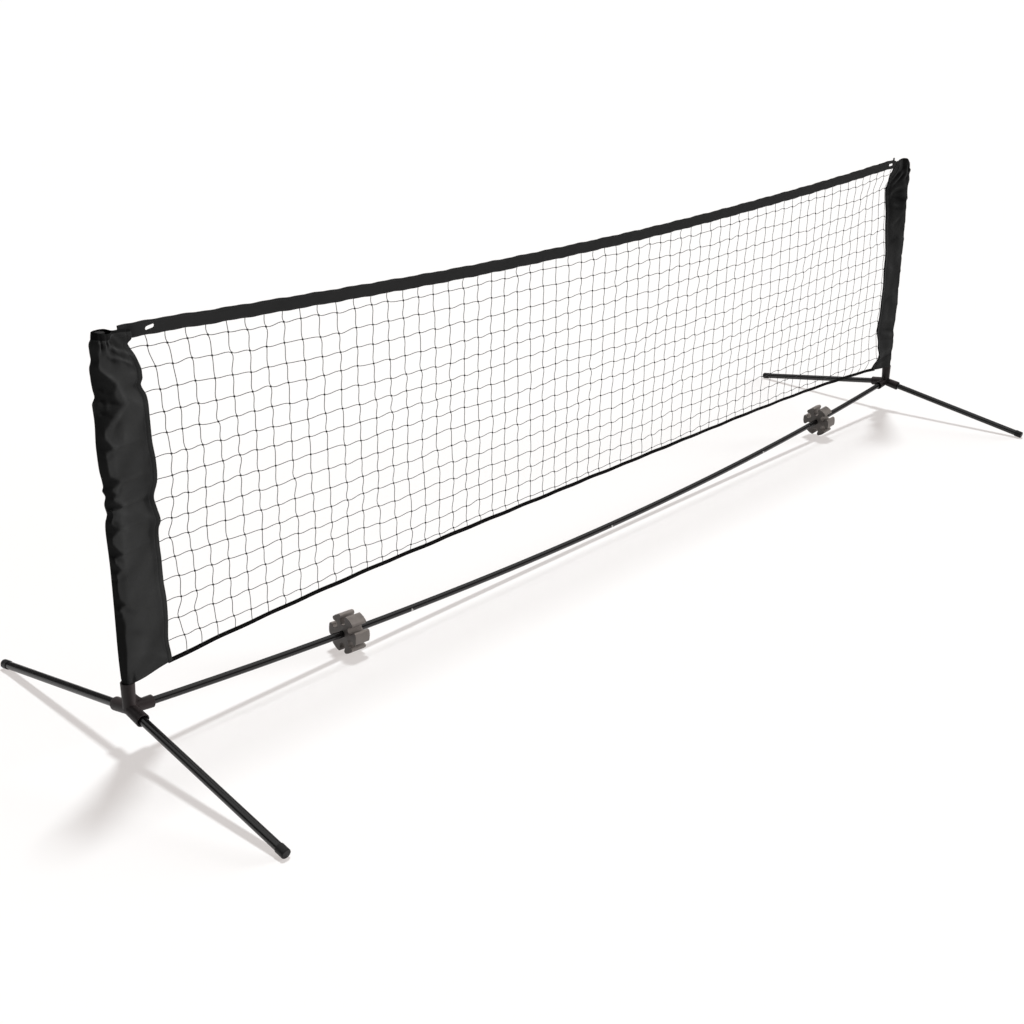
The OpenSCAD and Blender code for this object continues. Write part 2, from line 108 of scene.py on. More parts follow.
class NetSizes(bpy.types.PropertyGroup):
    """Sizes of the sewn and knotted pieces."""

    twine: length("Twine", "Diameter of the net's twine", 1.5 * MM)
    knot: length("Knot", "Length of a knot in the net", 5.6 * MM)
    columns: count("Columns", "Number of upright strands", 62)
    rows: count("Rows", "Number of level strands", 15)
    first_row: length("First row", "Drop from the band to the first level strand", 21 * MM)
    slack: length("Slack", "How far knots stray from an even grid", 2.6 * MM)
    band: length("Band", "Height of the top band", BAND_HIGH.z - BAND_FOOT)
    band_thick: length("Band thickness", "Thickness of the folded top band", 3.0 * MM)
    slot_left: length("Left slot length", "Length of the slot near the left end of the band", 21 * MM)
    slot_right: length("Right slot length", "Length of the slot near the right end of the band", 28 * MM)
    slot_high: length("Slot height", "Height of the slot near each end of the band", 8.5 * MM)
    stitch: length("Stitch", "Distance between stitches", 3.6 * MM)
    thread: length("Thread", "Diameter of the sewing thread", 0.55 * MM)
    cloth: length("Cloth", "Thickness of the sleeve's cloth with its lining", 1.2 * MM)
    hem: length("Hem", "Width of the sewn hem on a sleeve", 12 * MM)


class NetColours(bpy.types.PropertyGroup):
    """Colours of the finishes."""

    paint: colour("Tube paint", "Black paint of the tubes", (0.0036, 0.0029, 0.0029))
    hub: colour("Hub plastic", "Moulded hubs", (0.031, 0.0243, 0.0243))
    clip: colour("Clip plastic", "Storage clips", (0.166, 0.146, 0.133))
    rubber: colour("End plastic", "Leg caps and post plugs", (0.010, 0.0095, 0.0095))
    steel: colour("Bright steel", "Snap buttons and springs", (0.62, 0.61, 0.60))
    cloth: colour("Sleeve cloth", "Charcoal cloth of the sleeves", (0.0335, 0.0335, 0.0332))
    webbing: colour("Webbing", "Top band and loop", (0.0290, 0.0286, 0.0286))
    tape: colour("Tape", "Black tape along the foot of the net", (0.0045, 0.0042, 0.0042))
    twine: colour("Twine", "Twine of the net", (0.030, 0.029, 0.030))
    thread: colour("Thread", "Sewing thread", (0.050, 0.050, 0.052))
    elastic: colour("Elastic", "Elastic in the mouths of the sleeves", (0.02, 0.02, 0.021))


class StageLook(bpy.types.PropertyGroup):
    """Floor and lights."""

    floor: colour("Floor", "Pale floor as the camera sees it", (0.370, 0.385, 0.390))
    glow: colour("Floor glow", "Plain light in the floor as the camera sees it", (0.550, 0.512, 0.495))
    bounce: share("Bounce", "Share of light that the floor throws up", 0.24)
    sky: strength("Surround", "Strength of the even light", 0.10)
    gap: share("Dark walls", "Darkness of the walls of the studio", 0.93)
    belt: share("Top of the walls", "Height of the directions where they end", 0.66)
    key: strength("Top light", "Strength of the light from above", 3.4)
    fill: strength("Side light", "Strength of the light from the side", 5.0)


# ---------------------------------------------------------------- finishes


class Number:
    """A shader number. Python's operators on it add the Math nodes that they stand for."""

    def __init__(self, finish, socket):
        self.finish, self.socket = finish, socket

    def math(self, operation, *terms):
        """A Math node on these terms, which are numbers or other shader numbers."""
        return self.finish.number("ShaderNodeMath", {"operation": operation}, dict(enumerate(terms)))

    def __add__(self, other):
        return self.math("ADD", self, other)

    def __sub__(self, other):
        return self.math("SUBTRACT", self, other)

    def __rsub__(self, other):
        return self.math("SUBTRACT", other, self)

    def __mul__(self, other):
        return self.math("MULTIPLY", self, other)

    __radd__ = __add__

    def wave(self):
        """Its sine, from -1 to 1."""
        return self.math("SINE", self)

    def larger(self, other):
        """The larger of two numbers."""
        return self.math("MAXIMUM", self, other)

    def held(self):
        """The number kept between 0 and 1."""
        return self.math("MINIMUM", self.math("MAXIMUM", self, 0.0), 1.0)


class Shader:
    """A tree of nodes that grows by one call for each node."""

    def __init__(self, tree):
        self.tree = tree

    def node(self, kind, settings=None, sockets=None):
        """Adds a node of a type. Its settings are made first, then its sockets get values or links."""
        node = self.tree.nodes.new(kind)
        for name, value in (settings or {}).items():
            setattr(node, name, value)
        self.plug(node, sockets or {})
        return node

    def plug(self, node, sockets):
        """Gives a node's sockets their values or links."""
        for name, value in sockets.items():
            if isinstance(value, Number):
                value = value.socket
            if isinstance(value, bpy.types.NodeSocket):
                self.tree.links.new(value, node.inputs[name])
            else:
                node.inputs[name].default_value = value

    def number(self, kind, settings=None, sockets=None, output=0):
        """Adds a node and gives one of its outputs as a shader number."""
        return Number(self, self.node(kind, settings, sockets).outputs[output])

    def place(self, output="Object"):
        """Position on the piece, or its own UV map."""
        return self.node("ShaderNodeTexCoord").outputs[output]

    def parts(self, vector):
        """The three parts of a vector as shader numbers."""
        split = self.node("ShaderNodeSeparateXYZ", None, {0: vector})
        return [Number(self, socket) for socket in split.outputs]

    def cloud(self, vector, scale, detail=3.0, roughness=0.55):
        """Soft noise from 0 to 1 whose scale is in turns per metre."""
        return self.number("ShaderNodeTexNoise", None,
                           {"Vector": vector, "Scale": scale, "Detail": detail, "Roughness": roughness})

    def stretched(self, vector, factors):
        """A position scaled along each axis."""
        scaled = self.node("ShaderNodeVectorMath", {"operation": "MULTIPLY"}, {0: vector, 1: factors})
        return scaled.outputs[0]

    def tint(self, amount, low, high):
        """A colour between two, by a shader number from 0 to 1."""
        mix = self.node("ShaderNodeMix", {"data_type": "RGBA"})
        ends = [tone if isinstance(tone, bpy.types.NodeSocket) else (*tone, 1) for tone in (low, high)]
        self.plug(mix, {0: amount, 6: ends[0], 7: ends[1]})
        return mix.outputs[2]

    def bump(self, height, depth, strength=1.0, under=None):
        """A bump of a real depth in metres, over another if one is given."""
        sockets = {"Height": height, "Distance": depth, "Strength": strength}
        if under is not None:
            sockets["Normal"] = under
        return self.node("ShaderNodeBump", None, sockets).outputs[0]

    def seen_rays(self, camera=True):
        """1 for rays that glosses and clear pieces send out, and for the camera's own if asked."""
        path = self.node("ShaderNodeLightPath").outputs
        seen = Number(self, path["Is Glossy Ray"]).larger(Number(self, path["Is Transmission Ray"]))
        return seen.larger(Number(self, path["Is Camera Ray"])) if camera else seen


class Finish(Shader):
    """One material made of nodes."""

    def __init__(self, name):
        self.material = bpy.data.materials.new(name)
        self.material.use_nodes = True
        super().__init__(self.material.node_tree)
        self.shader = self.tree.nodes["Principled BSDF"]

    def finish(self, tone, roughness, normal, **fixed):
        """Feeds the shader: what varies is linked, and the rest is set on its sockets."""
        self.plug(self.shader, {"Base Color": tone, "Roughness": roughness, "Normal": normal})
        for name, value in fixed.items():
            self.shader.inputs[name.replace("_", " ").title().replace("Ior", "IOR")].default_value = value
        return self.material


def shade(tone, factor):
    """A colour made lighter or darker."""
    return tuple(min(1.0, part * factor) for part in tone)


def satin_paint(name, tone):
    """Satin black paint with a slight orange peel and faint handling marks."""
    made = Finish(name)
    place = made.place()
    marks = made.cloud(place, 14.0, detail=5.0, roughness=0.65)
    peel = made.cloud(place, 900.0, detail=2.0)
    worn = (made.cloud(place, 60.0, detail=6.0, roughness=0.7) * 2.4 - 1.25).held()
    return made.finish(made.tint(worn * 0.5 + marks * 0.3, shade(tone, 0.8), shade(tone, 1.9)),
                       0.19 + marks * 0.11 + worn * 0.10, made.bump(peel, 0.05 * MM, strength=0.35),
                       specular_ior_level=0.5)


def moulded_plastic(name, tone, grain, gloss, shine=0.25):
    """Moulded plastic with a spark-eroded grain and soft blotches."""
    made = Finish(name)
    place = made.place()
    blotch = made.cloud(place, 55.0, detail=4.0, roughness=0.6)
    fine = made.cloud(place, grain, roughness=0.6)
    swirl = made.cloud(made.stretched(place, (1.0, 1.0, 2.2)), 190.0)
    return made.finish(made.tint(blotch * 0.6 + swirl * 0.4, shade(tone, 0.72), shade(tone, 1.28)),
                       gloss + blotch * 0.12, made.bump(fine, 0.12 * MM, strength=0.6),
                       specular_ior_level=shine)


def bright_metal(name, tone):
    """Polished steel with fine draw lines."""
    made = Finish(name)
    lines = made.cloud(made.stretched(made.place(), (60.0, 900.0, 900.0)), 1.0, detail=2.0)
    return made.finish(made.tint(lines, shade(tone, 0.85), shade(tone, 1.05)), 0.18 + lines * 0.14,
                       made.bump(lines, 0.02 * MM, strength=0.3), metallic=1.0)


def bound_edge(made, along):
    """1 on a darker band along the rim of a sleeve's mouth, which reaches further down over the gathered
    casing:
    held((height - rim's foot + reach of the casing) / soft edge)."""
    x = made.parts(made.place())[0]
    left, right = ((x * (side / CASING_SOFT) - (HUB_X - CASING_INBOARD[side]) / CASING_SOFT).held()
                   for side in (-1, 1))
    drop = left.larger(right) * CASING_RIM
    return ((along - (SLEEVE_TOP - RIM_BOUND) + drop) * (1 / RIM_SOFT)).held()


def woven_cloth(name, tone, pitch):
    """Plain-woven polyester: threads cross over and under at a pitch, with painted light on the raised folds
    and painted shade in their valleys.
    """
    made = Finish(name)
    place = made.place("UV")
    across, along, _ = made.parts(place)
    turn = math.pi / pitch
    weave = (across * turn).wave() * (along * turn).wave() * 0.5 + 0.5
    slub = made.cloud(made.stretched(place, (1500.0, 60.0, 1.0)), 1.0, detail=2.0)
    cloud = made.cloud(made.place(), 22.0, detail=4.0, roughness=0.6)
    fold = made.number("ShaderNodeAttribute", {"attribute_name": "fold"}, None, 2)
    # Painted light and shade: the fold height lightens the cloth on its ridges and darkens it in its
    # valleys, over the weave, slubs and blotches.
    wear = (weave * 0.22 + slub * 0.16 + cloud * 0.30 + fold * 150 + 0.16).held()
    plain = made.tint(wear, shade(tone, 0.50), shade(tone, 1.50))
    # The mouth's rim and the casing below it are painted darker, down to 0.12 of the cloth's tone.
    bound = made.tint(bound_edge(made, along) * 0.75, plain, shade(tone, 0.12))
    wrinkle = made.bump(made.cloud(made.place(), 62.0, detail=4.0, roughness=0.6), 0.9 * MM, strength=0.7)
    return made.finish(bound, 0.60 + cloud * 0.14, made.bump(weave, 0.10 * MM, strength=0.6, under=wrinkle),
                       specular_ior_level=0.025)


def ribbed_webbing(name, tone, pitch):
    """Woven webbing: ribs across the strap, broken by the warp threads, with a slightly shiny face."""
    made = Finish(name)
    place = made.place("UV")
    along, across, _ = made.parts(place)
    rib = (along * (math.pi / pitch)).wave() * (across * (math.pi / (1.6 * pitch))).wave()
    fuzz = made.cloud(made.stretched(place, (500.0, 1400.0, 1.0)), 1.0)
    cloud = made.cloud(made.place(), 16.0, detail=4.0, roughness=0.6)
    ribbed = made.tint(rib * 0.25 + fuzz * 0.3 + cloud * 0.35 + 0.1, shade(tone, 0.62), shade(tone, 1.45))
    return made.finish(ribbed, 0.66 + fuzz * 0.12,
                       made.bump(rib * 0.5 + fuzz * 0.3, 0.22 * MM, strength=0.7), specular_ior_level=0.03)


def laid_twine(name, tone, lay):
    """Twisted twine: slanting plies round the strand, from its UV map in metres."""
    made = Finish(name)
    along, around, _ = made.parts(made.place("UV"))
    ply = ((along * (2 * math.pi / lay)) + (around * (6 * math.pi))).wave() * 0.5 + 0.5
    fuzz = made.cloud(made.place(), 700.0)
    return made.finish(made.tint(ply * 0.6 + fuzz * 0.4, shade(tone, 0.6), shade(tone, 1.5)),
                       0.62 + fuzz * 0.2, made.bump(ply, 0.15 * MM, strength=0.7), specular_ior_level=0.35)


def floor_paper(name, tone, glow, bounce):
    """Pale paper floor that keeps shadows. The camera and glosses see its full tone and its own plain light,
    and everything else gets only the bounced share."""
    made = Finish(name)
    grain = made.cloud(made.place(), 3.0, detail=2.0)
    made.finish(made.tint(grain, shade(tone, 0.995), tone), 0.9 + grain * 0.05,
                made.bump(grain, 0.01 * MM, strength=0.1), specular_ior_level=0.0,
                emission_color=(*glow, 1), emission_strength=1.0)
    plain = made.node("ShaderNodeBsdfDiffuse", None, {"Color": (bounce, bounce, bounce, 1)})
    mixed = made.node("ShaderNodeMixShader", None,
                      {0: made.seen_rays(), 1: plain.outputs[0], 2: made.shader.outputs[0]})
    made.plug(made.tree.nodes["Material Output"], {"Surface": mixed.outputs[0]})
    return made.material


# Finishes of sewn and knotted pieces: how each is made, its colour in the settings, pitch of its threads.
FINISHES = {
    "charcoal_cloth": (woven_cloth, "cloth", 0.55 * MM),
    "strap_webbing": (ribbed_webbing, "webbing", 0.8 * MM),
    "lower_tape": (ribbed_webbing, "tape", 0.8 * MM),
    "gathered_elastic": (ribbed_webbing, "elastic", 0.6 * MM),
    "sewing_thread": (laid_twine, "thread", 1.2 * MM),
    "net_twine": (laid_twine, "twine", 2.4 * MM),
}


def finish_of(name, colours):
    """A finish by its name, made the first time that it is asked for."""
    make, tone, pitch = FINISHES[name]
    return bpy.data.materials.get(name) or make(name, tuple(getattr(colours, tone)), pitch)


# ---------------------------------------------------------------- surfaces


def skin(points, close_rows=False, close_cols=False, row_uv=None, col_uv=None):
    """One grid of points, rows by columns by 3, as faces. A closed way joins its last line to its first."""
    return {"points": np.asarray(points, float), "close": (close_rows, close_cols), "uv": (row_uv, col_uv)}


def grid_faces(rows, cols, close_rows, close_cols):
    """Corner indices of a grid's faces, and each corner's row and column before it wraps."""
    i, j = np.meshgrid(np.arange(rows if close_rows else rows - 1),
                       np.arange(cols if close_cols else cols - 1), indexing="ij")
    i, j = i.ravel(), j.ravel()
    ci = np.stack([i, i, i + 1, i + 1], 1)
    cj = np.stack([j, j + 1, j + 1, j], 1)
    return (ci % rows) * cols + (cj % cols), ci, cj


def end_caps(rows, cols):
    """Corner indices of the two flat faces that close a tube-like grid."""
    first = np.arange(cols)
    return np.stack([first[::-1], first + (rows - 1) * cols])


def build(name, skins, material, smooth_angle=40.0, extra_faces=()):
    """Joins skins into one mesh object at the origin and gives each face corner its UV."""
    points, faces, uvs, start = [], [], [], 0
    for part in skins:
        grid = part["points"]
        rows, cols = grid.shape[:2]
        index, ci, cj = grid_faces(rows, cols, *part["close"])
        row_uv = np.arange(rows + 1) if part["uv"][0] is None else part["uv"][0]
        col_uv = np.arange(cols + 1) if part["uv"][1] is None else part["uv"][1]
        points.append(grid.reshape(-1, 3))
        faces.append(index + start)
        uvs.append(np.stack([np.asarray(col_uv)[cj], np.asarray(row_uv)[ci]], 2))
        start += rows * cols
    corners = np.concatenate([index.ravel() for index in faces])
    corner_uv = np.concatenate([uv.reshape(-1, 2) for uv in uvs])
    counts = np.full(len(corners) // 4, 4)
    for face in extra_faces:
        corners = np.concatenate([corners, face])
        corner_uv = np.concatenate([corner_uv, np.zeros((len(face), 2))])
        counts = np.append(counts, len(face))
    return from_arrays(name, np.concatenate(points), corners, counts, corner_uv, material, smooth_angle)


def from_arrays(name, points, corners, counts, corner_uv, material, smooth_angle=40.0):
    """Puts whole arrays into a new mesh object: points, face corners, corners in each face and their UVs."""
    mesh = bpy.data.meshes.new(name)
    mesh.vertices.add(len(points))
    mesh.vertices.foreach_set("co", np.ascontiguousarray(points, np.float32).ravel())
    mesh.loops.add(len(corners))
    mesh.loops.foreach_set("vertex_index", np.ascontiguousarray(corners, np.int32))
    mesh.polygons.add(len(counts))
    starts = np.concatenate([[0], np.cumsum(counts)[:-1]]).astype(np.int32)
    mesh.polygons.foreach_set("loop_start", starts)
    mesh.update(calc_edges=True)
    layer = mesh.uv_layers.new(name="UVMap")
    layer.data.foreach_set("uv", np.ascontiguousarray(corner_uv, np.float32).ravel())
    mesh.validate()
    mesh.shade_smooth()
    mesh.set_sharp_from_angle(angle=math.radians(smooth_angle))
    mesh.materials.append(material)
    made = bpy.data.objects.new(name, mesh)
    bpy.context.scene.collection.objects.link(made)
    return made


def weld(made):
    """Merges points that lie on each other, so that skins share their seams, and turns faces outwards."""
    shell = bmesh.new()
    shell.from_mesh(made.data)
    bmesh.ops.remove_doubles(shell, verts=shell.verts, dist=HAIR)
    bmesh.ops.recalc_face_normals(shell, faces=shell.faces)
    shell.to_mesh(made.data)
    shell.free()


def unit(vectors):
    """Vectors brought to a length of 1."""
    return vectors / np.maximum(np.linalg.norm(vectors, axis=-1, keepdims=True), 1e-12)


def run_along(points):
    """Distance along lines of points from their first point: the running sum of the steps' lengths."""
    steps = np.linalg.norm(np.diff(points, axis=-2), axis=-1)
    return np.concatenate([np.zeros((*steps.shape[:-1], 1)), np.cumsum(steps, axis=-1)], -1)


def closed_copies(name, points, run, material, smooth_angle=80.0):
    """Many tube-like grids in one mesh, each closed round and with flat ends. points is copies by rows by
    columns by 3, and run, copies by rows, is each row's distance along, for the UV map."""
    copied, rows, cols = points.shape[:3]
    index, ci, cj = grid_faces(rows, cols, False, True)
    offsets = np.arange(copied)[:, None, None] * rows * cols
    faces = (index + offsets).reshape(-1)
    caps = (end_caps(rows, cols) + offsets).reshape(-1)
    uv = np.stack([run[:, ci], np.broadcast_to(cj / cols, (copied, *cj.shape))], -1).reshape(-1, 2)
    corners = np.concatenate([faces, caps])
    counts = np.concatenate([np.full(len(faces) // 4, 4), np.full(2 * copied, cols)])
    corner_uv = np.concatenate([uv, np.zeros((len(caps), 2))])
    return from_arrays(name, points.reshape(-1, 3), corners, counts, corner_uv, material, smooth_angle)


def tubes(name, lines, radius, sides, material):
    """Round strands, all in one mesh. Ring = centre + radius (N cos a + B sin a), where N is the net's
    normal made square to the strand and B is square to both. lines is strands by stations by 3."""
    along = unit(np.gradient(lines, axis=1))
    normal = np.broadcast_to(FORWARD, along.shape)
    normal = unit(normal - along * (normal * along).sum(-1, keepdims=True))
    side = np.cross(along, normal)
    angle = np.arange(sides) * 2 * math.pi / sides
    ring = (normal[:, :, None] * np.cos(angle)[:, None] + side[:, :, None] * np.sin(angle)[:, None]) * radius
    return closed_copies(name, lines[:, :, None] + ring, run_along(lines), material)


def copies(name, shape, centres, along, across, up, material, smooth_angle=80.0):
    """Copies of a small closed grid. A copy's point = centre + x along + y across + z up.
    shape is rows by columns by 3, closed round its columns, and flat faces close its ends."""
    x, y, z = np.moveaxis(shape, -1, 0)[:, None, :, :, None]
    centres, along, across, up = (part[:, None, None] for part in (centres, along, across, up))
    points = centres + x * along + y * across + z * up
    run = np.arange(len(shape)) / (len(shape) - 1) * np.ptp(shape[..., 0])
    return closed_copies(name, points, np.broadcast_to(run, points.shape[:2]), material, smooth_angle)


def stitch_shape(reach, radius):
    """One stitch: a short bowed thread, x along, that dips into the cloth at both ends."""
    t = np.linspace(-1, 1, 5)[:, None]
    a = (np.arange(6) * math.pi / 3)[None]
    thick = radius * (1 - 0.35 * t ** 4)
    bow = radius * (0.9 - 2.1 * t ** 4)
    return np.stack(np.broadcast_arrays(t * reach / 2, thick * np.cos(a), bow + thick * np.sin(a)), -1)


def stitch_places(line, outward, pitch):
    """Middles of the stitches spaced along a line of points, and each one's directions along the line,
    across it and outward from the surface."""
    run = run_along(line)
    places = np.arange(pitch / 2, run[-1], pitch)

    def at(distances, values):
        return np.stack([np.interp(distances, run, values[:, k]) for k in range(3)], 1)

    up = unit(at(places, outward))
    along = unit(at(places + pitch / 3, line) - at(places - pitch / 3, line))
    along = unit(along - up * (along * up).sum(1, keepdims=True))
    return at(places, line), along, np.cross(up, along), up


def sewn(name, rows, pitch, thread, material):
    """One mesh of all the stitches in several rows of (line, outward directions)."""
    lots = zip(*(stitch_places(line, outward, pitch) for line, outward in rows))
    return copies(name, stitch_shape(pitch * 0.72, thread / 2), *map(np.concatenate, lots), material)


# ---------------------------------------------------------------- curves of the net


def smooth(t):
    """An even step from 0 to 1."""
    t = np.clip(t, 0, 1)
    return t * t * (3 - 2 * t)


def swell(distance, height, width):
    """A smooth swelling: height * exp(-(distance / width)^2)."""
    return height * np.exp(-(distance / width) ** 2)


def arc(distance, radius):
    """Height of a circle over a distance from its middle: the root of radius^2 - distance^2."""
    return np.sqrt(np.clip(radius ** 2 - distance ** 2, 0, None))


def eased(x, table):
    """A smooth curve through a table of (x, value) pairs, from the least x up. Cubic pieces whose slopes are
    the mean of the rises on both sides, or level where the table turns."""
    kx, ky = np.array(table, float).T
    rise = np.diff(ky) / np.diff(kx)
    slope = np.concatenate([[rise[0]], (rise[1:] + rise[:-1]) / 2, [rise[-1]]])
    flat = np.concatenate([[False], rise[1:] * rise[:-1] <= 0, [False]])
    slope[flat] = 0
    x = np.clip(x, kx[0], kx[-1])
    i = np.clip(np.searchsorted(kx, x) - 1, 0, len(kx) - 2)
    span = kx[i + 1] - kx[i]
    t = (x - kx[i]) / span
    return cubic(t, ky[i], ky[i + 1], span * slope[i], span * slope[i + 1])


def cubic(t, start, end, leave, arrive):
    """A cubic from start to end as t goes from 0 to 1, with its slope at both ends."""
    return ((2 * t ** 3 - 3 * t ** 2 + 1) * start + (t ** 3 - 2 * t ** 2 + t) * leave
            + (-2 * t ** 3 + 3 * t ** 2) * end + (t ** 3 - t ** 2) * arrive)


def ripple(x, z, seed, waves, longest, shortest, height):
    """A smooth uneven field: a sum of sines with seeded directions, lengths and starts."""
    rng = np.random.default_rng(seed)
    total = np.zeros(np.broadcast(x, z).shape)
    for turn, start, pick in rng.random((waves, 3)):
        size = shortest * (longest / shortest) ** pick
        angle = turn * math.pi
        total += np.sin(2 * math.pi * (x * math.cos(angle) + z * math.sin(angle) + start * size) / size)
    return total * height / math.sqrt(waves)


# The band's top edge along the net: (x, height). Its right end is drawn up, and falls again at the tab:
# (distance, place where it starts, length that it takes).
BAND_TOP = [(-1.46, 0.8555), (-1.40, 0.8555), (-1.257, 0.8495), (-1.10, 0.8435), (-0.90, 0.8360),
            (-0.665, 0.8285), (-0.40, 0.8240), (0.0, 0.8225), (0.30, 0.8262), (0.60, 0.8345),
            (0.895, 0.8450), (1.10, 0.8535), (1.25, 0.8580), (1.40, 0.8600), (1.46, 0.8600)]
BAND_DRAWN, BAND_DRAWN_FROM, BAND_DRAWN_OVER = 0.0095, 1.09, 0.40
BAND_FALLS, BAND_FALLS_FROM, BAND_FALLS_OVER = 0.0090, HUB_X - 0.128, 0.048
# From where the band's ends pass behind the sleeves' tabs, and how far behind.
TAB_X, TAB_OVER, BEHIND_TAB = 1.424, 0.016, 0.0034
# The tape's height in the middle, and its droop where it meets the sleeves.
TAPE_Z, TAPE_DROOP, TAPE_END_X = 0.1872, 0.027, 1.43
# How far a sleeve's free edge is drawn in front of (-) or behind (+) the net's plane: (height, distance).
HEM_SWAY = {
    -1: [(0.15, 0.002), (0.35, 0.004), (0.55, -0.003), (0.75, -0.002), (0.86, 0.0)],
    1: [(0.154, -0.003), (0.180, -0.006), (0.200, -0.020), (0.213, -0.021), (0.237, -0.013),
        (0.259, -0.012), (0.282, -0.007), (0.305, -0.004), (0.380, -0.008), (0.500, -0.006),
        (0.572, -0.0025), (0.592, 0.0), (0.654, 0.007), (0.694, 0.010), (0.734, 0.015),
        (0.754, 0.017), (0.773, 0.018), (0.792, 0.014), (0.812, 0.007), (0.826, 0.0)],
}


def band_top(x):
    """Height of the band's top edge: it sags from both sleeves to the middle, with two slight waves."""
    drawn_up = (BAND_DRAWN * smooth((x - BAND_DRAWN_FROM) / BAND_DRAWN_OVER)
                - BAND_FALLS * smooth((x - BAND_FALLS_FROM) / BAND_FALLS_OVER))
    return eased(x, BAND_TOP) + drawn_up + 0.0006 * np.sin(x * 61.0) + 0.0004 * np.sin(x * 143.0 + 1.0)


def band_sway(x):
    """How far the band strays from the net's plane. Its ends lie behind the sleeves' tabs."""
    behind = BEHIND_TAB * smooth((np.abs(x) - TAB_X) / TAB_OVER)
    return ripple(x, 0 * x, seed=5, waves=5, longest=1.3, shortest=0.35, height=0.0007) + behind


def tape_middle(x):
    """Height of the lower tape's centre line: level, with a droop towards the sleeves as the fourth power
    of the distance from the middle, and a slight wave."""
    return TAPE_Z - TAPE_DROOP * (x / TAPE_END_X) ** 4 + 0.0006 * np.sin(x * 47.0)


def hem_sway(side, z):
    """How far a sleeve's free edge is from the net's plane at a height."""
    return eased(z, HEM_SWAY[side])


def net_sway(x, z):
    """How far the sleeves' free edges draw the net between them from its plane."""
    return np.where(x < 0, hem_sway(-1, z), hem_sway(1, z))


# ---------------------------------------------------------------- sleeves

# Heights of a sleeve's foot and mouth, and half the depth of its pocket.
SLEEVE_LOW, SLEEVE_TOP = 0.1536, 0.8512
POCKET_HALF = 0.0140
# Rows up a sleeve, places across a face, and the row where its girth is measured.
SLEEVE_ROWS, SLEEVE_PLACES, GIRTH_ROW = 236, 66, 60
# A nose of NARROW width has the power NOSE_ROUND. At BROAD it has NOSE_FLAT and is deeper.
NARROW, BROAD = 0.010, 0.030
NOSE_ROUND, NOSE_FLAT = 1.38, 1.12
BROAD_DEEPER = 0.0055
NOSE_LEAST = 0.0036
# The outer edge is rounded over a multiple of the nose's width, up to a longest.
TIP_SHARE, TIP_LONGEST = 1.3, 0.010
# Least half thickness from the outer edge in, and the length over which it starts.
EDGE_HALF, EDGE_OVER = 0.0019, 0.017
# Half thickness at the hem, and the power with which the cloth tapers to it.
HEM_HALF, TAPER = 0.0020, 1.35
# Least half thickness of the pocket and of the hem.
POCKET_LEAST, HEM_LEAST = 0.0021, 0.0017
# Radius of the folded edge beyond the hem.
FOLD_EDGE = 0.0022
# Radius of the cloth over the post and, low down, within the hub's socket, with the height that it takes.
OVER_POST, IN_SOCKET, SOCKET_TALL = 0.01035, 0.0108, 0.032
# The gathered mouth's width and depth, and how far below the rim the casing is stitched.
MOUTH_WIDE, MOUTH_DEEP = 0.038, 0.058
GATHER_FULL = 0.014
CASING_DROP = 0.0135
# Pleats of the mouth: place of the first, their width, height, shift at the back and share on the casing.
PLEAT_FIRST, PLEAT_WIDE, PLEAT_HIGH = 0.0240, 0.0117, 0.0015
PLEAT_SHIFT, PLEAT_ON_CASING = 0.37, 0.25
# How strongly each side's mouth is puckered, and how far down its rim's rise reaches.
PUCKER = {-1: 1.0, 1: 0.45}
RIM_REACH = {-1: 0.030, 1: 0.050}
# Darker band along the rim: depth, softness, and the deeper part over the casing with its reach inboard of
# each hub.
RIM_BOUND, RIM_SOFT = 0.0020, 0.000625
CASING_RIM, CASING_SOFT = 0.0085, 0.004
CASING_INBOARD = {-1: 0.047, 1: 0.028}
# Outer and inner edges of the sleeves: (height, distance inboard of the hub).
EDGE_OUT = {
    -1: [(0.1536, -0.0082), (0.1700, -0.0106), (0.207, -0.0105), (0.335, -0.0062), (0.418, -0.0042),
         (0.468, -0.0046), (0.496, -0.0022), (0.508, 0.0026), (0.529, -0.0004), (0.544, 0.0036),
         (0.557, -0.0012), (0.564, 0.0016), (0.599, -0.0022), (0.639, -0.0028), (0.694, 0.0004),
         (0.722, -0.0002), (0.737, 0.0064), (0.748, 0.0046), (0.770, 0.0030), (0.793, 0.0036),
         (0.803, 0.0080), (0.820, 0.0072), (0.834, 0.0088), (0.8400, 0.0128), (0.8512, 0.0150)],
    1: [(0.1536, -0.0100), (0.175, -0.0150), (0.205, -0.0165), (0.235, -0.0175), (0.262, -0.0125),
        (0.300, -0.0062), (0.345, -0.0085), (0.385, -0.0130), (0.420, -0.0070), (0.470, -0.0052),
        (0.520, -0.0004), (0.580, -0.0020), (0.640, 0.0016), (0.697, 0.0028), (0.716, 0.0014),
        (0.737, 0.0055), (0.758, 0.0110), (0.777, 0.0104), (0.796, 0.0066), (0.815, 0.0084),
        (0.834, 0.0100), (0.8400, 0.0135), (0.8512, 0.0150)],
}
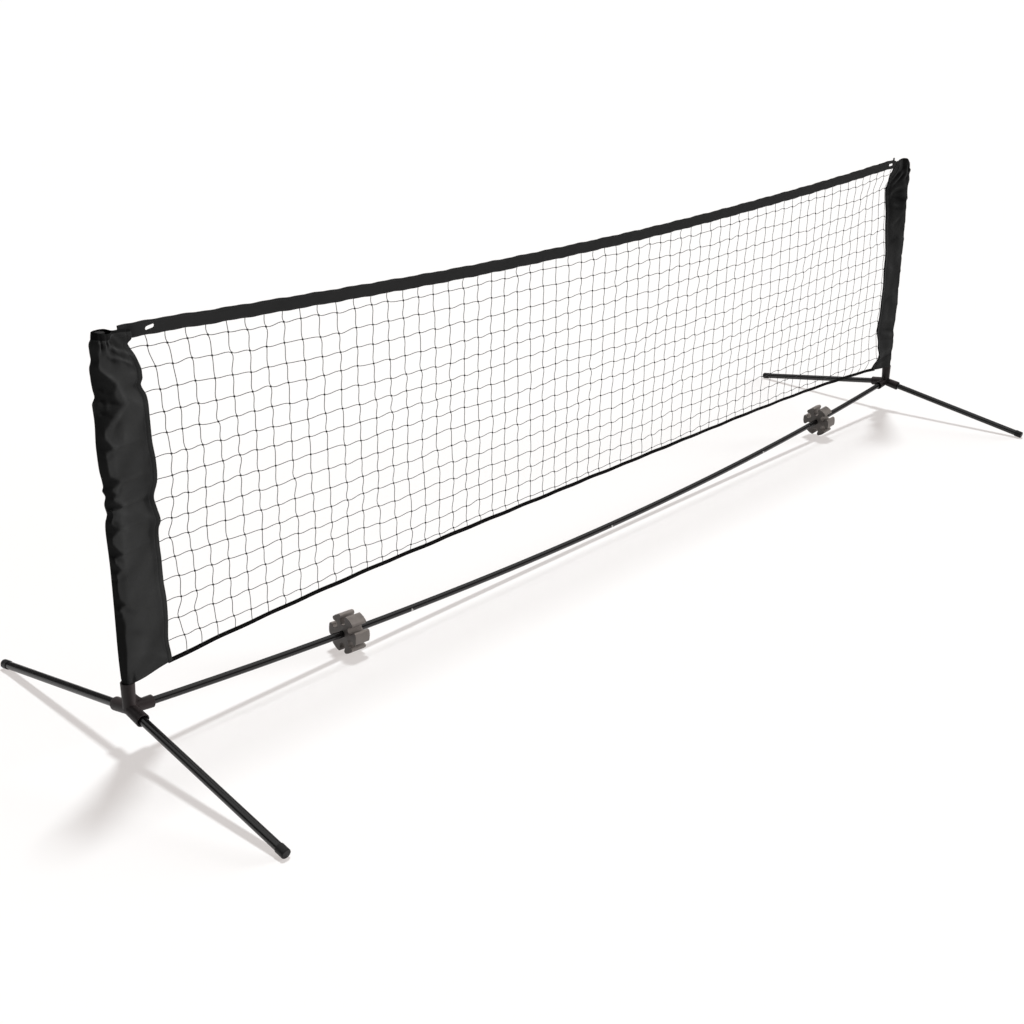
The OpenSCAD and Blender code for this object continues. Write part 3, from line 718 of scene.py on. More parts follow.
EDGE_IN = {
    -1: [(0.1536, 0.1075), (0.175, 0.1070), (0.207, 0.1040), (0.250, 0.1085), (0.293, 0.1105),
         (0.340, 0.1080), (0.381, 0.1085), (0.420, 0.1070), (0.450, 0.1085), (0.464, 0.1140),
         (0.490, 0.1085), (0.515, 0.1035), (0.545, 0.1130), (0.559, 0.1150), (0.584, 0.1155),
         (0.632, 0.1120), (0.676, 0.1125), (0.716, 0.1110), (0.740, 0.1020), (0.752, 0.1068),
         (0.765, 0.1068), (0.780, 0.1030), (0.797, 0.0965), (0.812, 0.0880), (0.820, 0.0848),
         (0.8265, 0.0925), (0.8340, 0.0940), (0.8512, 0.0940)],
    1: [(0.1536, 0.1120), (0.166, 0.1140), (0.185, 0.1040), (0.215, 0.1010), (0.260, 0.1060),
        (0.300, 0.1110), (0.340, 0.1070), (0.400, 0.1095), (0.450, 0.1060), (0.500, 0.1110),
        (0.560, 0.1085), (0.600, 0.1100), (0.650, 0.1110), (0.700, 0.1120), (0.740, 0.1135),
        (0.770, 0.1140), (0.790, 0.1120), (0.808, 0.1170), (0.820, 0.1210), (0.8265, 0.1190),
        (0.8340, 0.1110), (0.8420, 0.1010), (0.8512, 0.0910)],
}
# How far the mouth's rim stands above its height: (distance inboard of the hub, rise).
RIM = {
    (-1, -1): [(0.000, 0.0035), (0.009, 0.0035), (0.042, -0.0040), (0.050, -0.0035), (0.065, -0.0034),
               (0.091, -0.0059), (0.096, -0.0060)],
    (-1, 1): [(0.000, 0.0), (0.044, 0.0006), (0.058, -0.0030), (0.075, -0.0036), (0.096, -0.0060)],
    (1, -1): [(0.000, -0.0070), (0.016, -0.0065), (0.024, -0.0040), (0.032, 0.0020), (0.038, 0.0090),
              (0.044, 0.0146), (0.054, 0.0164), (0.070, 0.0154), (0.078, 0.0122), (0.085, 0.0100),
              (0.093, 0.0095)],
    (1, 1): [(0.000, -0.0070), (0.020, -0.0050), (0.034, 0.0030), (0.045, 0.0100), (0.058, 0.0142),
             (0.070, 0.0142), (0.080, 0.0108), (0.093, 0.0095)],
}
# Where each face leaves the round nose: (height, distance inboard of the hub), in millimetres.
NOSE_LINE = {
    (-1, -1): [
        (154, -6), (180, -4), (200, -2), (226, 2), (256, 3), (280, 6), (293, 5), (300, 1), (305, 3),
        (312, -4), (318, -5), (321, 6), (324, 11), (329, 8), (336, 1), (350, -1), (360, -4), (369, -5),
        (374, 0), (377, 2), (382, -3), (388, -4), (393, 4), (397, 13), (402, 9), (409, 1), (416, -4),
        (421, -3), (426, 8), (430, 17), (436, 12), (445, 3), (455, -2), (463, -2), (470, 3), (475, 12),
        (479, 17), (485, 13), (491, 4), (499, -1), (505, 2), (510, 8), (514, 4), (517, 2), (520, 22),
        (523, 27), (530, 24), (536, 12), (540, 10), (545, 19), (551, 15), (556, 12), (562, 14), (566, 22),
        (573, 28), (580, 19), (584, 12), (590, 10), (600, 9), (620, 9), (632, 10), (636, 17), (640, 21),
        (648, 18), (655, 14), (660, 12), (668, 11), (674, 13), (680, 18), (688, 23), (694, 27), (700, 33),
        (706, 41), (711, 47), (715, 49), (720, 47), (727, 42), (735, 38), (741, 38), (747, 41), (752, 42),
        (758, 41), (765, 35), (770, 30), (780, 21), (785, 17), (793, 15), (797, 15), (802, 17), (810, 18),
        (820, 18), (830, 17), (852, 17)],
    (-1, 1): [
        (154, 8), (240, 12), (300, 9), (360, 16), (410, 11), (470, 22), (510, 14), (560, 27), (590, 14),
        (650, 18), (690, 30), (730, 38), (770, 24), (800, 18), (852, 17)],
    (1, -1): [
        (154, 8), (205, 14), (250, 10), (290, 18), (330, 11), (374, 16), (424, 12), (490, 20), (540, 13),
        (600, 20), (650, 14), (700, 26), (728, 34), (750, 24), (775, 28), (800, 20), (852, 17)],
    (1, 1): [
        (154, 8), (210, 12), (262, 9), (320, 15), (372, 10), (440, 18), (500, 12), (550, 22), (610, 14),
        (662, 20), (700, 28), (740, 36), (780, 22), (805, 18), (852, 17)],
}
# Creases: ends (across, height) and (across, height), width and height of the fold, all in millimetres.
CREASES = {
    (-1, -1): [
        (8, 793, 42, 758, 6.0, 2.8), (44, 752, 58, 716, 6.5, 2.2), (50, 706, 28, 684, 6.0, 2.2),
        (2, 757, 25, 742, 5.0, -2.6), (0, 735, 45, 716, 5.0, -3.4), (5, 712, 22, 698, 5.0, -2.6),
        (48, 822, 92, 796, 3.2, 3.6), (36, 807, 62, 797, 3.4, 2.6), (62, 797, 86, 783, 3.6, 3.8),
        (39, 818, 78, 791, 3.0, -3.2), (46, 834, 54, 821, 3.2, -2.6), (34, 802, 56, 789, 3.4, -2.2),
        (70, 786, 84, 776, 3.6, -1.6), (24, 836, 24, 822, 2.6, -1.6),
        (36, 837, 36, 826, 2.6, -1.6), (43, 839, 51, 821, 2.8, -1.8), (35, 812, 33, 798, 5.0, -1.8),
        (66, 742, 104, 738, 7.0, -1.8), (62, 728, 100, 700, 7.0, 1.6), (64, 770, 96, 762, 6.0, 1.4),
        (5, 668, 10, 655, 4.0, 1.8), (10, 655, 20, 641, 4.5, 2.2), (20, 640, 34, 634, 6.0, 1.2),
        (46, 690, 30, 664, 7.0, -1.6), (54, 668, 44, 640, 8.0, 1.4), (28, 628, 4, 618, 6.0, -1.6),
        (-6, 559, 18, 546, 3.6, -2.8), (2, 572, 28, 564, 4.0, 2.0), (30, 560, 22, 545, 4.0, -1.4),
        (4, 534, 30, 526, 4.0, 2.2), (-4, 517, 8, 511, 3.2, -2.2), (0, 499, 18, 484, 3.8, -2.8),
        (18, 512, 42, 500, 6.0, 1.6), (20, 480, 40, 468, 6.0, 1.2), (2, 476, 18, 472, 3.6, 1.8),
        (4, 446, 16, 428, 4.0, 1.6), (-2, 424, 12, 414, 3.6, -1.8), (0, 404, 12, 396, 3.6, 1.6),
        (70, 520, 104, 514, 8.0, -1.8), (62, 500, 100, 470, 9.0, 1.4), (-2, 372, 26, 384, 7.0, -1.4),
        (2, 318, 24, 300, 6.0, -1.4), (8, 262, 44, 246, 8.0, -1.3), (24, 640, 18, 320, 11.0, 1.4),
        (88, 660, 86, 200, 10.0, -1.0), (10, 214, 60, 200, 9.0, 1.0), (70, 188, 104, 166, 6.0, 1.2),
    ],
    (-1, 1): [
        (14, 800, 60, 770, 6.0, 2.6), (60, 770, 96, 766, 5.0, 1.4), (20, 760, 70, 722, 7.0, -2.4),
        (10, 730, 52, 690, 6.5, 2.4), (50, 690, 40, 640, 7.0, 1.8), (4, 650, 44, 662, 6.0, -2.0),
        (38, 826, 90, 800, 4.0, 1.8), (42, 812, 88, 776, 4.0, -1.6), (0, 590, 46, 604, 6.0, 2.0),
        (0, 560, 40, 552, 5.0, -2.4), (2, 510, 48, 528, 6.0, 2.0), (0, 470, 30, 462, 5.0, -2.0),
        (4, 410, 60, 430, 8.0, 1.6), (0, 360, 36, 350, 6.0, -1.8), (6, 300, 50, 316, 8.0, 1.4),
        (0, 236, 40, 228, 6.0, -1.5), (80, 640, 84, 240, 10.0, 0.9),
    ],
    (1, -1): [
        (114, 794, 66, 850, 3.8, 3.2), (106, 790, 58, 846, 3.8, -3.2), (97, 786, 50, 836, 3.8, 2.8),
        (87, 782, 44, 824, 4.0, -2.8), (118, 808, 82, 850, 3.8, -2.4), (38, 820, 48, 808, 5.0, 2.4),
        (28, 808, 50, 796, 4.6, -2.0), (44, 780, 96, 771, 4.6, 3.0), (40, 766, 86, 757, 4.6, -2.4),
        (86, 768, 108, 748, 6.0, 3.2), (30, 726, 88, 744, 6.0, -3.0), (70, 716, 104, 724, 5.0, 2.8),
        (50, 702, 96, 708, 5.0, -2.2), (18, 742, 36, 730, 5.0, 1.8), (24, 690, 70, 652, 7.0, -1.8),
        (40, 676, 90, 660, 7.0, 1.8), (0, 650, 40, 640, 6.0, -1.8), (0, 596, 44, 606, 6.0, 1.8),
        (60, 610, 104, 590, 8.0, -1.6), (0, 546, 36, 536, 5.0, -2.2), (0, 488, 40, 498, 6.0, 1.8),
        (50, 500, 104, 520, 8.0, 1.4), (0, 432, 34, 424, 5.0, -2.0), (0, 374, 46, 390, 7.0, 1.6),
        (56, 410, 104, 396, 8.0, -1.4), (10, 268, 92, 286, 5.0, 2.4), (8, 284, 92, 300, 5.0, -2.4),
        (8, 254, 92, 268, 5.0, -2.2), (4, 322, 90, 330, 8.0, 1.8), (5, 206, 98, 187, 5.0, -2.4),
        (10, 224, 96, 214, 6.0, 2.2), (52, 178, 108, 170, 5.0, 1.8), (18, 640, 14, 320, 11.0, 1.4),
    ],
    (1, 1): [
        (36, 824, 88, 800, 4.0, 2.0), (30, 796, 92, 762, 6.0, -2.4), (14, 764, 70, 728, 6.5, 2.6),
        (6, 716, 60, 694, 6.5, -2.2), (0, 662, 44, 672, 6.0, 2.0), (4, 610, 54, 586, 7.0, -2.0),
        (0, 540, 44, 556, 6.0, 2.0), (0, 500, 36, 488, 5.0, -2.2), (2, 440, 56, 452, 7.0, 1.8),
        (0, 380, 36, 372, 5.0, -2.0), (4, 330, 60, 306, 8.0, 1.7), (0, 262, 44, 270, 6.0, -1.7),
        (10, 214, 70, 190, 7.0, 1.6), (84, 620, 82, 260, 10.0, 0.9),
    ],
}
# Where the fan of gathers spreads from: distance inboard of the hub and height.
FAN_X, FAN_Z = 0.040, SLEEVE_TOP + 0.012


def fold_relief(side, face, across, z):
    """Height of the folds on one face of a sleeve. Each crease is a ridge or valley along a line, whose
    height falls away as exp(-(distance / width)^1.6) and fades at the line's ends. A fan of gathers
    spreads from the mouth: a sine of the angle round it, strongest 2 to 4 cm out."""
    total = ripple(across * 1.6, z, seed=11 * (side + 3) + face, waves=9, longest=0.30, shortest=0.06,
                   height=0.00075)
    for x0, z0, x1, z1, width, height in np.array(CREASES[(side, face)]) * MM:
        run = np.array([x1 - x0, z1 - z0])
        reach = np.hypot(*run)
        t = ((across - x0) * run[0] + (z - z0) * run[1]) / reach ** 2
        off = np.abs((across - x0) * run[1] - (z - z0) * run[0]) / reach
        past = np.maximum(np.maximum(-t, t - 1), 0) * reach
        near = np.exp(-(np.hypot(off, past * 0.8) / width) ** 1.6)
        total += height * near * (0.45 + 0.55 * smooth(1 - np.abs(2 * np.clip(t, 0, 1) - 1)))
    far = np.hypot(across - FAN_X, z - FAN_Z)
    angle = np.arctan2(across - FAN_X, FAN_Z - z)
    fan = np.sin(13.0 * angle + 1.7 * np.sin(3.0 * angle + side) + 2.0 * face)
    total += 0.0013 * fan * smooth((far - 0.018) / 0.016) * (1 - smooth((far - 0.040) / 0.055))
    return total


def half_thickness(across, wide, gathered, nose_wide, from_post):
    """Half the sleeve's thickness. A nose rises from the outer edge as (1 - (1 - s)^p)^(1/p), round where it
    is narrow and nearly straight where it is wide. The cloth then tapers to the hem, lies over the post as a
    circle, and ends at the mouth as an oval ring with a flat tab beside it."""
    pocket = wide * (1 - gathered) + MOUTH_WIDE * gathered
    broad = smooth((nose_wide - NARROW) / (BROAD - NARROW))
    power = NOSE_ROUND - (NOSE_ROUND - NOSE_FLAT) * broad
    s = np.clip(across / nose_wide, 0, 1)
    nose = (1 - (1 - s) ** power) ** (1 / power)
    run = np.clip((across - nose_wide * 0.9) / (wide - nose_wide * 0.9), 0, 1)
    deep = POCKET_HALF + BROAD_DEEPER * broad
    low = np.maximum(nose * (deep - (deep - HEM_HALF) * run ** TAPER), arc(from_post, OVER_POST))
    oval = POCKET_HALF * arc((across - pocket / 2) / (pocket / 2), 1)
    return np.maximum(low * (1 - gathered) + oval * gathered, EDGE_HALF * smooth(across / EDGE_OVER))


def sleeve_heights():
    """Heights of a sleeve's rows, closer together near the gathered mouth: a share of the sleeve's height
    of 1 - (1 - t)^1.35."""
    t = np.linspace(0, 1, SLEEVE_ROWS)
    return SLEEVE_LOW + (SLEEVE_TOP - SLEEVE_LOW) * (1 - (1 - t) ** 1.35)


def sleeve_shares():
    """Places across one face, from the outer edge to the hem's folded edge, closer together at both."""
    s = np.linspace(0, 1, SLEEVE_PLACES)
    return 0.55 * s + 0.45 * (1 - np.cos(math.pi * s)) / 2


def seam_relief(place, edge, z, hem):
    """Relief of the sewn seams: the hem's puckers, its groove and the step of its doubled cloth, and the
    same groove and step along the foot."""
    seam = edge - hem
    pucker = swell(seam - place, 0.00045, 0.007) * np.sin(z * 690 + 3 * np.sin(z * 61))
    groove = swell(seam - place, -0.0007, 0.0013)
    step = 0.0004 * smooth((place - seam) / 0.002)
    foot = swell(z - SLEEVE_LOW - hem, -0.0006, 0.0013) + 0.0004 * (z < SLEEVE_LOW + hem)
    return pucker + groove + step + foot


def mouth_relief(face, place, across, z, gathered):
    """Relief of the gathered mouth: cosine pleats under the casing and faintly on it, a pinch along the
    casing's stitches, a puff above them and a flare below."""
    casing = SLEEVE_TOP - CASING_DROP
    beat = (place - PLEAT_FIRST) / PLEAT_WIDE + 0.5 * (face + 1) * PLEAT_SHIFT
    pleat = -np.cos(2 * math.pi * beat) - 0.45 * np.cos(4 * math.pi * beat + 0.6)
    under = smooth((casing - z + 0.0015) / 0.003) * (1 - smooth((casing - z - 0.008) / 0.016))
    pleats = PLEAT_HIGH * pleat * (under + PLEAT_ON_CASING * (z > casing)) * smooth(across / 0.008)
    pleats = pleats * (1 - smooth((across - MOUTH_WIDE) / 0.008))
    ring = (swell(z - casing, -0.0017, 0.0022) + swell(z - casing - 0.0065, 0.0012, 0.0048)
            + swell(casing - 0.010 - z, 0.0022, 0.008))
    ring = ring * smooth(gathered * 1.4) * (1 - smooth((across - MOUTH_WIDE) / 0.006))
    return smooth(across / 0.012) * pleats + ring * smooth(across / 0.006)


def sleeve_face(side, face, sizes, inset):
    """Points of one face of a sleeve, rows by places across, as distance from the hub, depth and height.
    face is -1 for the front. inset moves the face towards the pocket's middle, for the lining.
    Depth = face * (half thickness + relief) + sway, where the half thickness stays clear of the post, is
    drawn into the hub's socket at the foot, and is rounded as a circle at the hem and at the outer edge."""
    z, shares = sleeve_heights()[:, None], sleeve_shares()[None]
    out, edge = eased(z, EDGE_OUT[side]), eased(z, EDGE_IN[side])
    across = (edge - out) * shares
    place = out + across
    gathered = smooth((z - (SLEEVE_TOP - MOUTH_DEEP)) / (MOUTH_DEEP - GATHER_FULL)) + 0 * across
    nose_wide = np.maximum(eased(z, np.array(NOSE_LINE[(side, face)]) * MM) - out, NOSE_LEAST)
    from_post = place - (z - HUB_Z) * math.tan(POST_LEAN)
    half = half_thickness(across, edge - out - sizes.hem, gathered, nose_wide, from_post)
    low = smooth(1 - (z - SLEEVE_LOW) / SOCKET_TALL)
    tucked = low * (1 - smooth((from_post - 0.002) / 0.010))
    half = half + (np.minimum(half, arc(from_post, IN_SOCKET)) - half) * tucked
    fade = 1 - 0.75 * smooth((place - (edge - sizes.hem)) / 0.004)
    quiet = 1 - smooth((z - SLEEVE_TOP + CASING_DROP + 0.004) / 0.008) * 0.85
    folds = fold_relief(side, face, place, z) * fade * quiet
    half = half + smooth(across / 0.012) * (folds + seam_relief(place, edge, z, sizes.hem))
    half = half + PUCKER[side] * mouth_relief(face, place, across, z, gathered)
    half = np.maximum(half, np.where(place < edge - sizes.hem, POCKET_LEAST, HEM_LEAST))
    half = np.maximum(half, arc(from_post, OVER_POST + sizes.cloth) * (1 - low))
    half = half * arc(np.clip((place - edge) / FOLD_EDGE + 1, 0, 1), 1)
    half = half * arc(1 - np.clip(across / np.minimum(nose_wide * TIP_SHARE, TIP_LONGEST), 0, 1), 1)
    if inset:
        half = np.maximum(half - inset, 0.0004) * smooth(across / 0.002)
        place = np.minimum(place + inset * (1 - smooth(across / 0.015)), edge - sizes.hem * 0.25)
    sway = hem_sway(side, z) * (np.clip(place - 0.02, 0, 1) / 0.09) ** 1.6
    rise = smooth((z - SLEEVE_TOP + RIM_REACH[side]) / RIM_REACH[side]) * eased(place, RIM[(side, face)])
    tuck = low ** 2 * (0.0032 * (1 - smooth((from_post - 0.003) / 0.010))
                       - 0.0052 * smooth((place - 0.014) / 0.09))
    return np.stack([place, face * half + sway, z + rise - tuck], -1)


def to_frame(side, points):
    """Turns distance inboard of a hub, depth and height into the frame's X, Y and Z."""
    return np.stack([side * (HUB_X - points[..., 0]), points[..., 1], points[..., 2]], -1)


def both_faces(front, back):
    """The front face from the outer edge to the hem, then the back face home again, as closed rows."""
    return np.concatenate([front, back[:, -2:0:-1]], 1)


def sleeve_ring(side, sizes, inset):
    """A sleeve's skin as closed rows of points in the frame."""
    return to_frame(side, both_faces(*(sleeve_face(side, face, sizes, inset) for face in (-1, 1))))


def mark_folds(sleeve, side):
    """Gives the outer skin's points the height of the fold that they lie on, for the painted light on the
    cloth's ridges and the painted shade in its valleys.
    """
    z = sleeve_heights()[:, None]
    out, edge = eased(z, EDGE_OUT[side]), eased(z, EDGE_IN[side])
    place = out + (edge - out) * sleeve_shares()[None]
    ring = both_faces(*(fold_relief(side, face, place, z) for face in (-1, 1)))[:, ::-side]
    heights = np.zeros(len(sleeve.data.vertices), np.float32)
    heights[:ring.size] = ring.ravel()
    sleeve.data.attributes.new("fold", "FLOAT", "POINT").data.foreach_set("value", heights)


def outward_of(ring):
    """Outward directions of a closed ring grid, from its two tangents."""
    around = np.roll(ring, -1, 1) - np.roll(ring, 1, 1)
    upward = np.gradient(ring, axis=0)
    return unit(np.cross(around, upward))


def line_on(ring, normals, rows, cols):
    """Points and outward directions along a line on a closed ring grid, between its grid lines."""
    rows, cols = np.broadcast_arrays(np.asarray(rows, float), np.asarray(cols, float) % ring.shape[1])
    r0, c0 = np.floor(rows).astype(int), np.floor(cols).astype(int)
    r1, c1 = np.minimum(r0 + 1, ring.shape[0] - 1), (c0 + 1) % ring.shape[1]
    fr, fc = (rows - r0)[:, None], (cols - c0)[:, None]
    found = [(grid[r0, c0] * (1 - fc) + grid[r0, c1] * fc) * (1 - fr)
             + (grid[r1, c0] * (1 - fc) + grid[r1, c1] * fc) * fr for grid in (ring, normals)]
    return found[0], unit(found[1])


def sleeve_seams(side, outer, sizes):
    """Lines of stitches on both faces of a sleeve: two up the hem, two along the foot and one round the
    mouth's casing, each with its outward directions."""
    normals = outward_of(outer) * side
    z, shares = sleeve_heights(), sleeve_shares()
    out, edge = eased(z, EDGE_OUT[side]), eased(z, EDGE_IN[side])
    rows, around = np.arange(len(z)), outer.shape[1]
    seams = []
    for face in (-1, 1):
        lines = [(rows, np.interp((edge - inset - out) / (edge - out), shares, np.arange(len(shares))))
                 for inset in (sizes.hem, sizes.hem * 0.22)]
        lines += [(np.interp(SLEEVE_LOW + height, z, rows), np.linspace(5, SLEEVE_PLACES - 5, 90))
                  for height in (sizes.hem, sizes.hem * 0.25)]
        lines.append((np.interp(SLEEVE_TOP - CASING_DROP, z, rows), np.linspace(4, SLEEVE_PLACES - 4, 70)))
        seams += [line_on(outer, normals, row, at if face < 0 else around - at) for row, at in lines]
    return seams


def sew_sleeve(side, label, sizes, colours):
    """The sleeve's cloth: an outer skin and a lining joined at the lower hem and at the mouth's rim."""
    outer, lining = sleeve_ring(side, sizes, 0), sleeve_ring(side, sizes, sizes.cloth)
    rim_low = np.stack([outer[0], (outer[0] + lining[0]) / 2 - [0, 0, 0.0004], lining[0]])
    rim_top = np.stack([outer[-1], (outer[-1] + lining[-1]) / 2 + [0, 0, 0.0005], lining[-1]])
    ring = outer[GIRTH_ROW]
    around = run_along(ring)
    around = np.append(around, around[-1] + 0.002)
    upward, over_rim = outer[:, 0, 2], np.array([0, 0.001, 0.002])
    skins = [skin(outer[:, ::-side], False, True, upward, around),
             skin(lining[:, ::side], False, True, upward, around),
             skin(rim_low[:, ::side], False, True, over_rim, around),
             skin(rim_top[:, ::-side], False, True, SLEEVE_TOP + over_rim, around)]
    sleeve = build(f"sewn_sleeve_{label}", skins, finish_of("charcoal_cloth", colours), 60.0)
    mark_folds(sleeve, side)
    weld(sleeve)
    stitches = sewn(f"sleeve_stitches_{label}", sleeve_seams(side, outer, sizes), sizes.stitch, sizes.thread,
                    finish_of("sewing_thread", colours))
    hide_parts(f"sleeve_{label}")
    for piece in (sleeve, stitches):
        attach(piece, "net")


# ---------------------------------------------------------------- net, band and tape

# Distance of the net's first column from the left hub and of its last from the right, and its last row.
FIRST_COLUMN, LAST_COLUMN = 0.118, 0.120
LAST_ROW = 0.2030
# The knots nearest to the left-hand sleeve: (height, distance inboard of the hub).
NEAR_KNOTS = [(0.202, 0.1422), (0.242, 0.1321), (0.284, 0.1433), (0.326, 0.1453), (0.371, 0.1412),
              (0.415, 0.1331), (0.455, 0.1392), (0.500, 0.1443), (0.543, 0.1473), (0.586, 0.1504),
              (0.632, 0.1453), (0.676, 0.1443), (0.719, 0.1412), (0.762, 0.1372), (0.809, 0.1240)]
# How far the level strands reach into a sleeve's hem, and the upright ones into the band.
INTO_HEM, INTO_BAND = 0.005, 0.003
# Where the sleeves' free edges are, for what they draw from the net's plane.
FREE_EDGE_X = HUB_X - 0.11
# Ends of the band, its stitched lines and the tape, as distances inboard of the hubs, and their stations.
BAND_END, BAND_LINE_END, TAPE_END = 0.069, 0.075, 0.098
BAND_STATIONS, SLOT_STATIONS, LINE_STATIONS, TAPE_STATIONS = 420, 33, 500, 330
# Points up each face of the band and of the tape, and round each of their edges.
BAND_POINTS, TAPE_POINTS, BEND_POINTS = 21, 6, 5
# How far the band's two seams are from its upper and lower edge, and their grooves' width.
SEAM_DROP, SEAM_RISE, SEAM_WIDE = 0.0042, 0.0032, 0.0009
# Distance of the band's slots inboard of the hubs, and how they rise along their length.
SLOT_INBOARD = 0.133
SLOT_RISE = {-1: 0.25, 1: 0.02}
# How far the tape reaches below its centre line, its thickness, and its girth and width laid flat.
TAPE_BELOW, TAPE_THICK, TAPE_GIRTH, TAPE_FLAT = 0.0056, 0.0028, 0.024, 0.010
# The loop: distance inboard of its solid, depth of its foot in the band, half its gap, width, thickness,
# how much taller it is than its solid, and height and crown of its bend.
LOOP_INBOARD, LOOP_FOOT = 0.008, 0.004
LOOP_HALF, LOOP_WIDE, LOOP_THICK = 0.0015, 0.0042, 0.0008
LOOP_TALLER, LOOP_BEND, LOOP_CROWN = 0.0008, 0.0022, 0.0018
# The elastic: middle radius, thickness, share of its solid's height, crimp and number of crimps.
ELASTIC_RADIUS, ELASTIC_THICK, ELASTIC_TALL = 0.0106, 0.00085, 0.94
CRIMP, CRIMPS = 0.00016, 26


def near_sleeves(x, reach):
    """Share of a sleeve's sway that the net has: exp(-(distance from the free edge) / reach)."""
    return np.exp(-(FREE_EDGE_X - np.abs(x)) / reach)


def stray(x, z, seeds, reach, chance):
    """How far knots stray one way from an even grid: a seeded ripple and a small chance shift."""
    wander = ripple(x, z, seeds[0], waves=8, longest=0.9, shortest=0.16, height=reach)
    return wander + np.random.default_rng(seeds[1]).normal(0, chance, z.shape)


def knot_grid(sizes):
    """Knots of the net, rows by columns by 3. Columns are evenly spaced between the sleeves and rows
    between band and tape, and each knot strays a little. The columns at the left-hand sleeve follow its
    nearest knots, by exp(-0.55 * number of columns from it)."""
    x = np.linspace(-HUB_X + FIRST_COLUMN, HUB_X - LAST_COLUMN, sizes.columns)[None]
    t = np.linspace(0, 1, sizes.rows)[:, None]
    high = band_top(x) - sizes.band - sizes.first_row
    z = high + (LAST_ROW - high) * t
    near = near_sleeves(x, 0.13)
    x = x + stray(x, z, (21, 7), sizes.slack, sizes.slack * 0.22)
    z = z + stray(x, z, (22, 8), sizes.slack * 0.9, sizes.slack * 0.25)
    pulled = np.exp(-(x - x[:, :1]) / (x[0, 1] - x[0, 0]) * 0.55)
    x = x + (eased(z[:, :1], NEAR_KNOTS) - HUB_X - x[:, :1]) * pulled
    y = ripple(x, z, seed=23, waves=7, longest=1.2, shortest=0.25, height=0.0016) + net_sway(x, z) * near
    return np.stack([x, y, z], -1)


def span_between(ends, slopes, steps):
    """Curved strands through their anchors: cubic pieces whose ends keep the given directions.
    ends is strands by anchors by 3, and slopes the direction at each anchor, with its pull in metres."""
    t = (np.arange(steps) / steps)[:, None]
    piece = cubic(t, ends[:, :-1, None], ends[:, 1:, None], slopes[:, :-1, None], slopes[:, 1:, None])
    return np.concatenate([piece.reshape(len(ends), -1, 3), ends[:, -1:]], 1)


def level_anchors(knots):
    """Anchors of the level strands: from one sleeve's hem through a row of knots to the other's."""
    z = knots[:, :, 2]
    ends = []
    for side, column in ((-1, 0), (1, -1)):
        into = eased(z[:, column], EDGE_IN[side]) - INTO_HEM
        ends.append(np.stack([side * (HUB_X - into), hem_sway(side, z[:, column]),
                              z[:, column] - 0.002 * side - 0.001], -1)[:, None])
    return np.concatenate([ends[0], knots, ends[1]], 1)


def upright_anchors(knots, sizes):
    """Anchors of the upright strands: from inside the band down a column of knots to the tape."""
    top, low = knots[0].copy(), knots[-1].copy()
    top[:, 2] = band_top(top[:, 0]) - sizes.band + INTO_BAND
    top[:, 0] -= 0.003
    top[:, 1] = band_sway(top[:, 0])
    low[:, 2] = tape_middle(low[:, 0]) + 0.001
    low[:, 1] = 0
    return np.concatenate([top[None], knots, low[None]], 0).transpose(1, 0, 2)


def knot_shape(long):
    """A knot as a bead with a slight waist: radius = long * sin t * (1 + 0.16 cos 4t), x = -long / 2 cos t,
    a little wider than deep."""
    t = np.linspace(0.06, 0.94, 7)[:, None] * math.pi
    a = (np.arange(8) * math.pi / 4)[None]
    round_x = np.sin(t) * (1 + 0.16 * np.cos(4 * t))
    return np.stack(np.broadcast_arrays(-np.cos(t) * long / 2, round_x * np.cos(a) * long * 0.36,
                                        round_x * np.sin(a) * long * 0.32), -1)


def tie_net(sizes, colours):
    """The knotted net: level and upright strands that lean down to the right at each knot, and the knots."""
    knots = knot_grid(sizes)
    finish = finish_of("net_twine", colours)
    rng = np.random.default_rng(31)
    level = level_anchors(knots)
    pull = np.linalg.norm(np.diff(level, axis=1), axis=2).mean()
    lean = np.radians(17 + rng.normal(0, 6, level.shape[:2]))
    lean[:, [0, -1]] = 0
    slope = np.stack([np.cos(lean), rng.normal(0, 0.10, lean.shape), -np.sin(lean)], -1) * pull
    across = tubes("net_level_strands", span_between(level, slope, 6), sizes.twine / 2, 6, finish)
    upright = upright_anchors(knots, sizes)
    lean = np.radians(20 + rng.normal(0, 7, upright.shape[:2]))
    slope = np.stack([np.sin(lean), rng.normal(0, 0.10, lean.shape), -np.cos(lean)], -1) * pull
    slope[:, 0] *= 0.5
    slope[:, -1] *= 0.3
    down = tubes("net_upright_strands", span_between(upright, slope, 6), sizes.twine / 2, 6, finish)
    centres = knots.reshape(-1, 3)
    turn = np.radians(-40 + rng.normal(0, 9, len(centres)))
    along = np.stack([np.cos(turn), 0 * turn, np.sin(turn)], -1)
    up = np.broadcast_to(FORWARD, along.shape)
    tied = copies("net_knots", knot_shape(sizes.knot), centres, along, np.cross(up, along), up, finish, 90.0)
    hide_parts("net_mesh")
    for piece in (across, down, tied):
        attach(piece, "net")


def strap_profile(high, thick, points):
    """Cross-section of a flat strap as a closed loop of (depth, height), a rounded rectangle. It runs up the
    front, over the top, down the back and under."""
    straight = high / 2 - thick / 2
    face = np.linspace(-straight, straight, points)
    bend = np.linspace(0, math.pi, BEND_POINTS + 2)[1:-1]
    top = np.stack([-np.cos(bend) * thick / 2, straight + np.sin(bend) * thick / 2], -1)
    front = np.stack([np.full(points, -thick / 2), face], -1)
    return np.concatenate([front, top, -front, -top])


